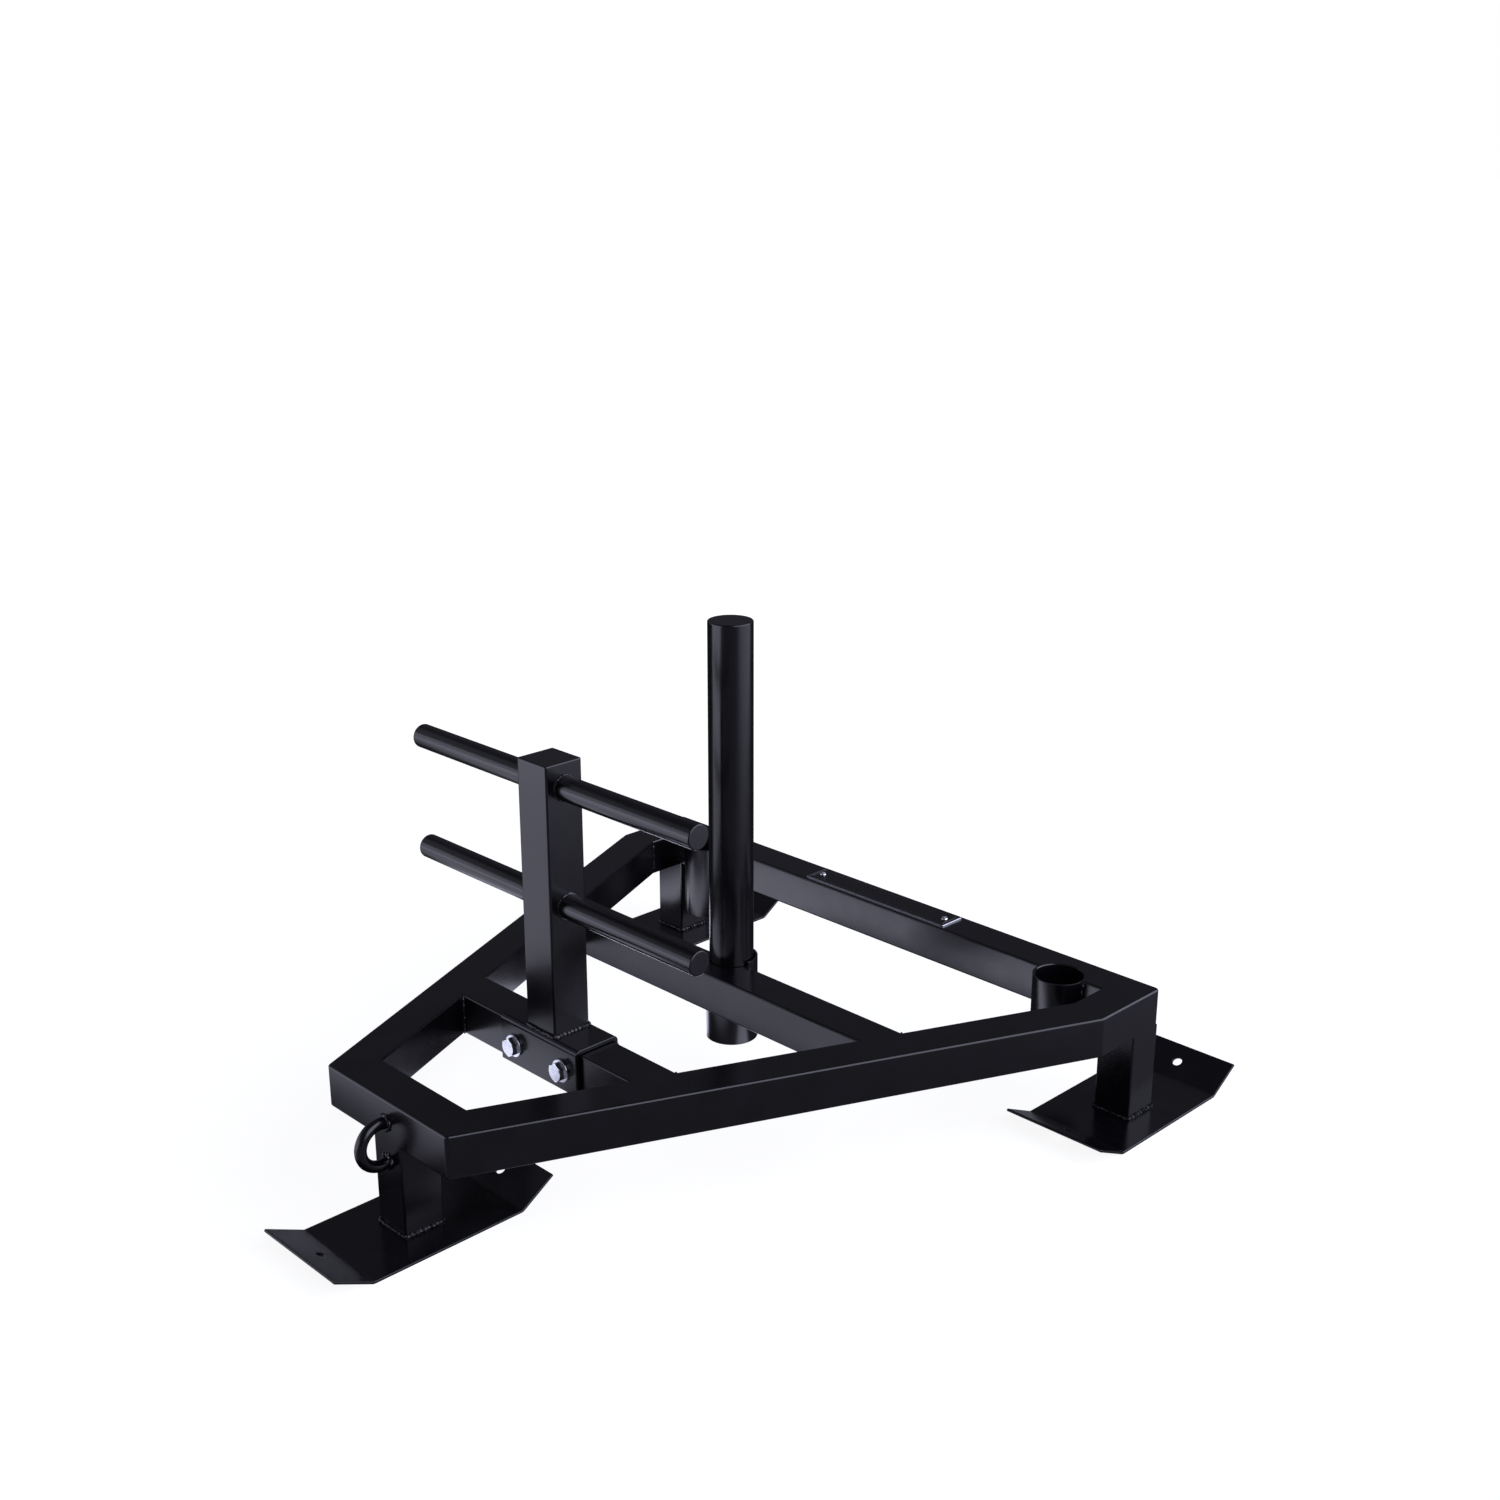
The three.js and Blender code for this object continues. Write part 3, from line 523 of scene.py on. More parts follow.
def settle(piece):
    """Makes the form that a piece's modifiers give it into its own mesh."""
    whole = bpy.data.meshes.new_from_object(piece.evaluated_get(bpy.context.evaluated_depsgraph_get()))
    rough = piece.data
    piece.modifiers.clear()
    piece.data = whole
    bpy.data.meshes.remove(rough)
    whole.name = piece.name


def add_piece(
    name, mesh, finishes, slot, stands_for=(), body="sled", ease=0, tools=(), sharp=SHARP_ANGLE,
):
    """Makes a mesh a piece of the sled, with its edges eased and its tools cut away."""
    piece = link(name, mesh)
    if ease:
        edges = piece.modifiers.new("Eased edges", "BEVEL")
        edges.width = ease
        edges.segments = EASE_STEPS
        edges.limit_method = "ANGLE"
        edges.angle_limit = SHARP_ANGLE
    cutters = [link(f"{name}_cutter_{i}", tool) for i, tool in enumerate(tools)]
    for cutter in cutters:
        cut = piece.modifiers.new("Cut", "BOOLEAN")
        cut.object = cutter
        cut.solver = "EXACT"
    if ease or cutters:
        settle(piece)
    for cutter in cutters:
        data = cutter.data
        bpy.data.objects.remove(cutter)
        bpy.data.meshes.remove(data)
    piece.data.shade_smooth()
    piece.data.set_sharp_from_angle(angle=sharp)
    flats = piece.modifiers.new("Flat faces stay flat", "WEIGHTED_NORMAL")
    flats.keep_sharp = True
    for coat in finishes:
        piece.data.materials.append(coat)
    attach(piece, body)
    if stands_for:
        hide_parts(*stands_for)
    return piece


def add_coated(node, mesh, coat=black_powder_coat_satin, **rest):
    return add_piece(f"{node}_coated", mesh, [finish(coat)], BLACK_SLOT, [node], **rest)


def add_plated(node, mesh, **rest):
    return add_piece(f"{node}_plated", mesh, [finish(bright_zinc_plate)], ZINC_SLOT, [node], **rest)


def upright_tube(place, bottom, top, corner):
    """A square tube on end."""
    section = square(TUBE, corner)
    return skin([[Vector((place.x + p.x, place.y + p.y, z)) for p in section] for z in (bottom, top)])


def drill(centre, axis, diameter, depth, flare):
    """A tool for a hole whose two rims are flared."""
    radius, half = diameter / 2, depth / 2
    profile = [
        (0, -half - flare), (radius + 2 * flare, -half - flare), (radius, -half + flare),
        (radius, half - flare), (radius + 2 * flare, half + flare), (0, half + flare),
    ]
    return turned(profile, centre, axis)


# Weld beads


def resample(path, step, loops=False):
    """Points along a path at even steps that fit its length."""
    points = path + path[:1] if loops else path
    marks = [0]
    for here, there in zip(points, points[1:]):
        marks.append(marks[-1] + (there - here).length)
    ripples = max(2, round(marks[-1] / step))
    count = ripples * RIPPLE_RINGS
    line = []
    leg = 0
    for i in range(count if loops else count + 1):
        distance = marks[-1] * i / count
        while leg < len(points) - 2 and marks[leg + 1] < distance:
            leg += 1
        share = (distance - marks[leg]) / (marks[leg + 1] - marks[leg])
        line.append(points[leg].lerp(points[leg + 1], share))
    return line


def lay_bead(mesh, path, crown, loops=False, size=1.0):
    """Lays one rippled bead along a path; crown gives the way that it faces at a point."""
    sizes = bpy.context.scene.sled_sizes
    points = resample(path, sizes.ripple * size, loops)
    last = len(points) - 1
    rings = []
    for i, point in enumerate(points):
        before = points[i - 1] if loops or i else point
        after = points[(i + 1) % len(points)] if loops or i < last else point
        along = (after - before).normalized()
        top = crown(point)
        top = (top - along * top.dot(along)).normalized()
        across = along.cross(top)
        end = 1 if loops else min(1, BEAD_END + (1 - BEAD_END) * min(i, last - i) / RIPPLE_RINGS)
        ring = []
        for side in range(BEAD_SIDES):
            turn = TURN * side / BEAD_SIDES
            out = top * math.cos(turn) + across * math.sin(turn)
            fall = (i / RIPPLE_RINGS + RIPPLE_LAG * (1 - math.cos(turn))) % 1
            lump = noise.noise((point + out * sizes.bead) / LUMP_WIDTH)
            reach = sizes.bead * size * end * (1 - sizes.ripple_depth * fall) * (1 + LUMP_SHARE * lump)
            ring.append(point + out * reach)
        rings.append(ring)
    skin(rings, loops, mesh=mesh)


def add_welds(name, beads):
    """One piece for the beads of a joint, each given as lay_bead takes it."""
    mesh = bmesh.new()
    for bead in beads:
        lay_bead(mesh, *bead)
    add_piece(name, mesh, [finish(black_powder_coat_on_weld)], BLACK_SLOT)


def upright(x, y, inset=0):
    """A path up the frame's height."""
    return [Vector((x, y, z)) for z in (FRAME_UNDERSIDE + inset, FRAME_TOP - inset)]


def facing(*way):
    """A crown that faces one way all along."""
    out = Vector(way).normalized()
    return lambda point: out


def facing_from(centre, lift):
    """A crown that faces away from a centre, leaning towards a direction."""
    return lambda point: (point - centre).normalized() + lift


def direction(turn, height):
    """The way out from the sled at a turn from the right and a height over the horizon."""
    return Vector((math.cos(turn) * math.cos(height), math.sin(turn) * math.cos(height), math.sin(height)))


def arc(centre, first, second, radius, start=0.0, sweep=TURN, steps=ROUND_STEPS):
    """Points round a circle in the plane of two directions; a full turn leaves out its last point."""
    count = steps if sweep == TURN else steps + 1
    turns = [start + sweep * i / steps for i in range(count)]
    return [centre + (first * math.cos(t) + second * math.sin(t)) * radius for t in turns]


# Operators, one for each group of pieces


class SLED_OT_studio(bpy.types.Operator):
    """Set up the pale floor, the soft boxes and the camera"""

    bl_idname = "sled.studio"
    bl_label = "Studio"

    # The floor that the camera sees: the glow's rise away from the sled, and a painted shadow under the
    # front ski, which the holes in its tips show, by half its width and length and the shares of them it
    # fades in
    sunk = 0.05 * MM
    glow_distance = (1, 2.5)
    glow_far_out = 1.05
    painted_ski_shadow = (24 * MM, 105 * MM)
    painted_ski_shadow_rim = (0.96, 1.05)

    # The floor that the coat reflects, in metres: painted light, a glow with painted lit parts and painted
    # shadows.
    # An edge of the light is where the light is gone, where it is whole and, if any, the share that stays
    # where it is gone; a line is its slope and where it starts.
    post_line = (0.5, 0.195)
    post_edge = (0.07, -0.07)
    middle_line = -0.1
    side_slope = -0.75
    side_edge = (0.25, 0)
    front_corner_edge = (-0.55, -0.44)
    sleeves_outboard = 0.2
    sleeves_slope = 0.5
    sleeves_edge = (0.155, 0.13)
    # Bands of painted shadow where the middle bar and the front bar would shade the floor
    middle_bar_offset = 0.03
    middle_bar_painted_shade_edge = (0.055, 0.075, 0.03)
    front_bar_offset = 0.435
    front_bar_painted_shade_edge = (0.035, 0.1, 0.08)
    beside_ski_edge = (-0.33, -0.42)
    before_rear_bar = (-0.13, 0.08)
    ahead_edge = (-0.75, -1.3)
    ahead_gain = 0.65
    far_right_edge = (0.45, 1.1)
    far_rear_edge = (-0.5, 0.7)
    far_out_edge = (1.2, 1.8)
    behind_slope = -0.3
    behind_edge = (-0.1, 0.2, 0.15)
    # Spots of painted shadow: the node over it, how far it lies ahead to the left, its dark core and its
    # rim
    painted_shade_spots = (("front_ski", (0.02, 0.02), 0.09, 0.14), ("weight_sleeve", (0.06, 0.04), 0.045, 0.085))
    painted_shade_share = 0.1

    # Heights of the room, from 0 at the horizon to 1 overhead, that its light rises between
    room_rise = (0.05, 0.3)
    low_room_share = 0.2

    def execute(self, context):
        studio = context.scene.sled_studio
        self.lay_floor(studio)
        self.light_room(studio)
        # Each soft box has a brightness and the turns and heights that it fills, in degrees
        for name, power, turns, heights in (
            ("left_soft_box", studio.left_lamp, (-165, -80), (0, 24)),
            ("left_fill_box", studio.left_fill, (-175, -110), (24, 44)),
            ("right_soft_box", studio.right_lamp, (-20, 65), (4, 62)),
        ):
            self.hang_lamp(name, studio, power, turns, heights)
        self.set_camera(studio)
        return {"FINISHED"}

    def lay_floor(self, studio):
        mesh = bmesh.new()
        corners = rectangle(studio.floor_reach, studio.floor_reach)
        mesh.faces.new([mesh.verts.new((*corner, 0)) for corner in corners])
        floor = link("studio_floor", mesh)
        floor.location.z = -self.sunk
        # Matt paint that glows nearly to white, so the sled's shadow only just shows
        material = bpy.data.materials.new("matt_white_floor_paint")
        add = new_nodes(material)
        place = add("TexCoord", output="Object")
        distance = add("VectorMath", (place,), operation="LENGTH")
        strength = add("MapRange", (distance, *self.glow_distance, studio.floor_glow, self.glow_far_out))
        # Painted shadow under the front ski: the glow fades to nothing over a rectangle beneath it
        ski = middle("front_ski")
        share = Vector([1 / reach for reach in self.painted_ski_shadow]).to_3d()
        from_ski = add("VectorMath", (place, (ski.x, ski.y, 0)), operation="SUBTRACT")
        shares = add("VectorMath", (from_ski, share), operation="MULTIPLY")
        axes = add("SeparateXYZ", (add("VectorMath", (shares,), operation="ABSOLUTE"),)).node.outputs
        furthest = add("Math", (axes["X"], axes["Y"]), operation="MAXIMUM")
        outside_painted_shadow = add("MapRange", (furthest, *self.painted_ski_shadow_rim))
        glow = add("Emission", {"Strength": add("Math", (strength, outside_painted_shadow), operation="MULTIPLY")})
        seen = add("AddShader", (add("BsdfDiffuse", {"Color": studio.floor}), glow))
        look = self.by_camera(add, self.reflected_floor(add, place, studio), seen)
        add("OutputMaterial", (look,))
        floor.data.materials.append(material)
        floor.visible_diffuse = False
        floor.visible_transmission = False
        floor.visible_shadow = False

    def reflected_floor(self, add, place, studio):
        """The floor as the coat's gloss shows it: a painted glow, lit to the front left, dim elsewhere,
        with painted shadows.
        """
        axes = add("SeparateXYZ", (place,)).node.outputs
        x, y = axes["X"], axes["Y"]
        # To the right the lit part ends at a line out from the post, and ahead at the sled's middle
        beside = add("Math", (y, *self.post_line), operation="MULTIPLY_ADD")
        limit = add("Math", (beside, self.middle_line), operation="MAXIMUM")
        past = add("Math", (x, limit), operation="SUBTRACT")
        lit = add("MapRange", (past, *self.post_edge), **SMOOTH)
        # To the left it ends at a line out from the frame's side, and to the rear under the pole sleeves
        outside = add("Math", (x, self.side_slope, y), operation="MULTIPLY_ADD")
        wedge = add("MapRange", (outside, *self.side_edge), **SMOOTH)
        corner = add("MapRange", (x, *self.front_corner_edge), **SMOOTH)
        left = add("Math", (wedge, corner), operation="MAXIMUM")
        outboard = add("Math", (x, self.sleeves_outboard), operation="ADD")
        outboard = add("Math", (outboard, 0), operation="MINIMUM")
        behind = add("Math", (outboard, self.sleeves_slope, y), operation="MULTIPLY_ADD")
        rear = add("MapRange", (behind, *self.sleeves_edge), **SMOOTH)
        # Painted shadows: a band of it is darkened where the middle bar's shadow would lie, and so for the
        # front bar, over the width of the ski
        painted_shade_bands = []
        for offset, edge in (
            (self.middle_bar_offset, self.middle_bar_painted_shade_edge), (self.front_bar_offset, self.front_bar_painted_shade_edge),
        ):
            away = add("Math", (add("Math", (y, offset), operation="ADD"),), operation="ABSOLUTE")
            painted_shade_bands.append(add("MapRange", (away, *edge), **SMOOTH))
        beyond = add("MapRange", (x, *self.beside_ski_edge), **SMOOTH)
        painted_shade_bands[1] = add("Math", (painted_shade_bands[1], beyond), operation="MAXIMUM")
        gain = add("MapRange", (y, *self.before_rear_bar, studio.left_floor, studio.inner_floor))
        # Further ahead the painted glow is brightest, which gives the post and the handles their narrow
        # lights
        ahead = add("MapRange", (y, *self.ahead_edge), **SMOOTH)
        ahead = add("Math", (ahead, self.ahead_gain, 1), operation="MULTIPLY_ADD")
        for share in (left, rear, *painted_shade_bands, gain, ahead):
            lit = add("Math", (lit, share), operation="MULTIPLY")
        # Elsewhere it is dim, and brighter far to the right and rear
        right = add("MapRange", (x, *self.far_right_edge), **SMOOTH)
        rear = add("MapRange", (y, *self.far_rear_edge), **SMOOTH)
        far = add("Math", (right, rear), operation="MULTIPLY")
        distance = add("VectorMath", (place,), operation="LENGTH")
        out = add("MapRange", (distance, *self.far_out_edge), **SMOOTH)
        far = add("Math", (far, add("Math", (out, 1), operation="ADD")), operation="MULTIPLY")
        dim = add("Math", (far, studio.far_floor, studio.right_floor), operation="MULTIPLY_ADD")
        # The painted glow is darkest behind the sled, which keeps its outlines dark
        behind = add("Math", (y, self.behind_slope, x), operation="MULTIPLY_ADD")
        behind = add("MapRange", (behind, *self.behind_edge), **SMOOTH)
        dim = add("Math", (dim, behind), operation="MULTIPLY")
        # Painted shadow: all of it is darkened round the front ski and under the weight sleeve
        painted_shade = 1
        for node, shift, core, rim in self.painted_shade_spots:
            spot = middle(node).to_2d() - Vector(shift)
            away = add("VectorMath", (place, spot.to_3d()), operation="DISTANCE")
            away = add("MapRange", (away, core, rim, self.painted_shade_share), **SMOOTH)
            painted_shade = add("Math", (away, painted_shade), operation="MULTIPLY")
        glow = add("Math", (painted_shade, add("Math", (lit, dim), operation="ADD")), operation="MULTIPLY")
        return add("Emission", {"Color": studio.tint, "Strength": glow})

    def by_camera(self, add, reflected, seen):
        """One shader for reflections and light, and another for what the camera sees itself."""
        return add("MixShader", (add("LightPath", output="Is Camera Ray"), reflected, seen))

    def light_room(self, studio):
        world = bpy.data.worlds.new("studio_room")
        add = new_nodes(world)
        white = add("Background", {"Color": (1, 1, 1, 1)})
        # The room is darkest low down, so the skis' tips don't light up where they are seen edge on
        height = add("SeparateXYZ", {"Vector": add("TexCoord", output="Generated")}, "Z")
        dimmest = self.low_room_share * studio.surround
        strength = add("MapRange", (height, *self.room_rise, dimmest, studio.surround))
        dim = add("Background", {"Strength": strength, "Color": studio.tint})
        add("OutputWorld", (self.by_camera(add, dim, white),))
        bpy.context.scene.world = world
        bpy.context.scene.view_settings.view_transform = "Standard"

    def hang_lamp(self, name, studio, power, turns, heights):
        """A soft box that fills a range of turns and heights, in degrees, as seen from the sled."""
        distance = studio.lamp_distance
        out = direction(math.radians(sum(turns) / 2), math.radians(sum(heights) / 2))
        lamp = bpy.data.lights.new(name, "AREA")
        lamp.shape = "RECTANGLE"
        lamp.color = studio.tint[:3]
        lamp.size = 2 * distance * math.tan(math.radians(turns[1] - turns[0]) / 2)
        lamp.size_y = 2 * distance * math.tan(math.radians(heights[1] - heights[0]) / 2)
        lamp.energy = power * math.pi * lamp.size * lamp.size_y
        box = bpy.data.objects.new(name, lamp)
        box.location = out * distance
        box.rotation_euler = out.to_track_quat("Z", "Y").to_euler()
        box.visible_camera = False
        bpy.context.scene.collection.objects.link(box)

    def set_camera(self, studio):
        data = bpy.data.cameras.new("studio_camera")
        data.lens = studio.lens
        data.sensor_width = studio.sensor
        camera = bpy.data.objects.new("studio_camera", data)
        camera.location = studio.camera_place
        back = direction(studio.azimuth - QUARTER, studio.elevation)
        camera.rotation_euler = (-back).to_track_quat("-Z", "Y").to_euler()
        bpy.context.scene.collection.objects.link(camera)
        bpy.context.scene.camera = camera


class SLED_OT_frame_tubes(bpy.types.Operator):
    """Weld up the frame: six mitred tubes and two cross tubes"""

    bl_idname = "sled.frame_tubes"
    bl_label = "Frame tubes"

    def execute(self, context):
        sizes = context.scene.sled_sizes
        section = square(TUBE, sizes.tube_corner)
        names = (
            "front_bar", "right_side_rail", "right_rear_rail",
            "rear_bar", "left_rear_rail", "left_side_rail",
        )
        for i, name in enumerate(names):
            along = (OUTLINE[(i + 1) % len(OUTLINE)] - OUTLINE[i]).normalized()
            outward = Vector((along.y, -along.x))
            start = self.mitred_end(i, outward, section, sizes.mitre_edge)
            end = self.mitred_end(i + 1, outward, section, sizes.mitre_edge)
            mesh = skin(start + end[::-1])
            bmesh.ops.remove_doubles(mesh, verts=mesh.verts, dist=MERGE_DISTANCE)
            sleeves = ("left_pole_sleeve", "right_pole_sleeve") if name == "rear_bar" else ()
            add_coated(name, mesh, tools=[self.seat(sleeve) for sleeve in sleeves])
        for name in ("mast_crossbar", "middle_bar"):
            y = middle(name).y
            # Each end runs on inside the rail's rounded edge, so the two tops meet flush
            reach = TUBE - sizes.tube_corner
            rings = [
                [(side * side_rail_x(y + p.x, reach), y + p.x, FRAME_MIDDLE + p.y) for p in section]
                for _, side in SIDES
            ]
            sleeves = ("weight_sleeve",) if name == "middle_bar" else ()
            add_coated(name, skin(rings), tools=[self.seat(sleeve) for sleeve in sleeves])
        return {"FINISHED"}

    def mitred_end(self, corner, outward, section, radius):
        """Rings from the mitre back to the straight tube, which round off the frame's upright edge."""
        centre = mitre_point(corner, radius)
        mitre = (mitre_point(corner, 0) - centre).normalized()
        rings = []
        for step in range(EASE_STEPS + 1):
            way = mitre.lerp(outward, step / EASE_STEPS).normalized()
            ring = []
            for p in section:
                depth = p.x + HALF_TUBE
                place = centre + way * (radius - depth) if depth < radius else mitre_point(corner, depth)
                ring.append((*place, FRAME_MIDDLE + p.y))
            rings.append(ring)
        return rings

    def seat(self, sleeve):
        """The tool for the notch that a sleeve stands in, with a hair's breadth to spare."""
        spare = 0.05 * MM
        return turned(rod(half_width(sleeve) + spare, -TUBE, TUBE), axle(sleeve, FRAME_MIDDLE), UP)


class SLED_OT_legs_and_skis(bpy.types.Operator):
    """Stand the frame on three legs and three folded skis"""

    bl_idname = "sled.legs_and_skis"
    bl_label = "Legs and skis"

    def execute(self, context):
        sizes = context.scene.sled_sizes
        for foot in ("front", "left_rear", "right_rear"):
            place = middle(f"{foot}_leg")
            # The leg runs up behind the frame's rounded lower edge, so their faces are flush
            top = FRAME_UNDERSIDE + sizes.tube_corner
            add_coated(f"{foot}_leg", upright_tube(place, sizes.ski_sheet, top, sizes.tube_corner))
            self.fold_ski(f"{foot}_ski", sizes)
        return {"FINISHED"}

    def fold_ski(self, node, sizes):
        flare = 0.15 * MM
        level = sizes.ski_sheet / 2
        front_rise = sizes.ski_front_angle
        front_fold = low(node).y + sizes.ski_tip * math.cos(front_rise) + level * math.sin(front_rise)
        line = []
        tools = []
        for way, fold_y, rise, hole in (
            (-1, front_fold, front_rise, sizes.ski_front_hole),
            (1, front_fold + sizes.ski_flat, sizes.ski_rear_angle, sizes.ski_rear_hole),
        ):
            fold = Vector((fold_y, level))
            along = Vector((way * math.cos(rise), math.sin(rise)))
            line += [fold + along * sizes.ski_tip, fold][::-way]
            spot = fold + along * hole
            centre = Vector((middle(node).x, spot.x, spot.y))
            axis = Vector((0, -way * along.y, way * along.x))
            tools.append(drill(centre, axis, sizes.ski_hole, sizes.ski_sheet, flare))
        outline = folded_sheet(line, sizes.ski_sheet, sizes.ski_bend)
        rings = [[(x, p.x, p.y) for p in outline] for x in (low(node).x, high(node).x)]
        coat = black_powder_coat_scuffed_sole
        add_coated(node, skin(rings), coat, ease=sizes.sheet_edge, tools=tools)


class SLED_OT_sleeves(bpy.types.Operator):
    """Let the weight sleeve and the two pole sleeves into their bars"""

    bl_idname = "sled.sleeves"
    bl_label = "Sleeves"

    def execute(self, context):
        sizes = context.scene.sled_sizes
        for node in ("weight_sleeve", "left_pole_sleeve", "right_pole_sleeve"):
            outer = half_width(node)
            bore = outer - sizes.sleeve_wall
            bottom, top = low(node).z, high(node).z
            lip = sizes.lead_in
            wall = [(bore, bottom), (outer, bottom), (outer, top), (bore + lip, top), (bore, top - lip)]
            profile = rounded(wall, sizes.turned_edge / 2, EASE_STEPS)
            tools = [self.rim_cutter(outer)] if top > FRAME_TOP else []
            add_coated(node, turned(profile, axle(node), UP), tools=tools)
            floor = f"{node}_floor"
            disc = rod(bore, low(floor).z, high(floor).z)
            disc = rounded(disc, sizes.turned_edge, EASE_STEPS, closed=False)
            add_coated(floor, turned(disc, axle(node), UP))
        return {"FINISHED"}

    def rim_cutter(self, radius):
        """The tool that takes the weight sleeve's rim down to the top of its bar, over the bar."""
        centre_y = high("middle_bar").y - radius
        corners = [(x, centre_y + y) for x, y in rectangle(2 * radius, radius)]
        return skin([[(*corner, z) for corner in corners] for z in (FRAME_TOP, FRAME_TOP + TUBE)])


class SLED_OT_tow_eye(bpy.types.Operator):
    """Bend the tow eye from round bar"""

    bl_idname = "sled.tow_eye"
    bl_label = "Tow eye"

    def execute(self, context):
        sizes = context.scene.sled_sizes
        radius = (high("tow_eye").z - low("tow_eye").z - sizes.eye_bar) / 2
        centre = Vector((0, low("tow_eye").y + radius + sizes.eye_bar / 2, FRAME_UNDERSIDE))
        # Both ends finish inside the tube's wall, under their weld
        buried = 4 * MM
        start = math.acos((FRONT_FACE + buried - centre.y) / radius)
        rings = []
        for step in range(ROUND_STEPS + 1):
            turn = start + (TURN - 2 * start) * step / ROUND_STEPS
            out = REARWARD * math.cos(turn) + UP * math.sin(turn)
            rings.append(arc(centre + out * radius, out, RIGHT, sizes.eye_bar / 2, steps=BAR_STEPS))
        add_coated("tow_eye", skin(rings))
        return {"FINISHED"}


class SLED_OT_mast(bpy.types.Operator):
    """Raise the mast on its saddle, with its lid and its two handles"""

    bl_idname = "sled.mast"
    bl_label = "Mast"

    def execute(self, context):
        sizes = context.scene.sled_sizes
        self.fold_saddle(sizes)
        place = middle("mast")
        lid = low("mast_cap").z
        add_coated("mast", upright_tube(place, high("mast_saddle").z, lid, sizes.tube_corner))
        self.close_mast(place, lid, high("mast_cap").z, sizes)
        for handle in ("upper_handle", "lower_handle"):
            self.make_handle(handle, sizes)
        return {"FINISHED"}

    def fold_saddle(self, sizes):
        node = "mast_saddle"
        lower, upper = low(node), high(node)
        half = sizes.saddle_sheet / 2
        flare = 0.5 * MM
        corners = [
            (lower.y + half, lower.z), (lower.y + half, upper.z - half),
            (upper.y - half, upper.z - half), (upper.y - half, lower.z),
        ]
        outline = folded_sheet(corners, sizes.saddle_sheet, sizes.saddle_bend)
        rings = [[(x, *p) for p in outline] for x in (lower.x, upper.x)]
        tools = []
        for side, _ in SIDES:
            place = middle(f"{side}_saddle_bolt")
            tools.append(drill(place, REARWARD, sizes.bolt_hole, upper.y - lower.y, flare))
        add_coated(node, skin(rings), ease=sizes.sheet_edge, tools=tools)

    def close_mast(self, place, bottom, top, sizes):
        edge = sizes.lid_edge
        rings = [[(place.x + p.x, place.y + p.y, bottom) for p in square(TUBE, sizes.tube_corner)]]
        for step in range(EASE_STEPS * 2 + 1):
            turn = QUARTER * step / (EASE_STEPS * 2)
            inset = edge * (1 - math.cos(turn))
            z = top - edge + edge * math.sin(turn)
            outline = square(TUBE - 2 * inset, sizes.tube_corner - inset)
            rings.append([(place.x + p.x, place.y + p.y, z) for p in outline])
        add_coated("mast_cap", skin(rings))

    def make_handle(self, node, sizes):
        place = middle(node)
        radius = (high(node).z - low(node).z) / 2
        outer_face = high(f"{node}_right_plug").x
        joint = outer_face - 2 * sizes.plug_edge
        add_coated(node, turned(rod(radius, -joint, joint), place, RIGHT))
        for side, sign in SIDES:
            plug = rod(radius, joint, outer_face)
            # Only the outer edge is eased: the inner one meets the tube
            profile = plug[:2] + rounded(plug[1:], sizes.plug_edge, 2 * EASE_STEPS, closed=False)[1:]
            add_coated(f"{node}_{side}_plug", turned(profile, place, RIGHT * sign))


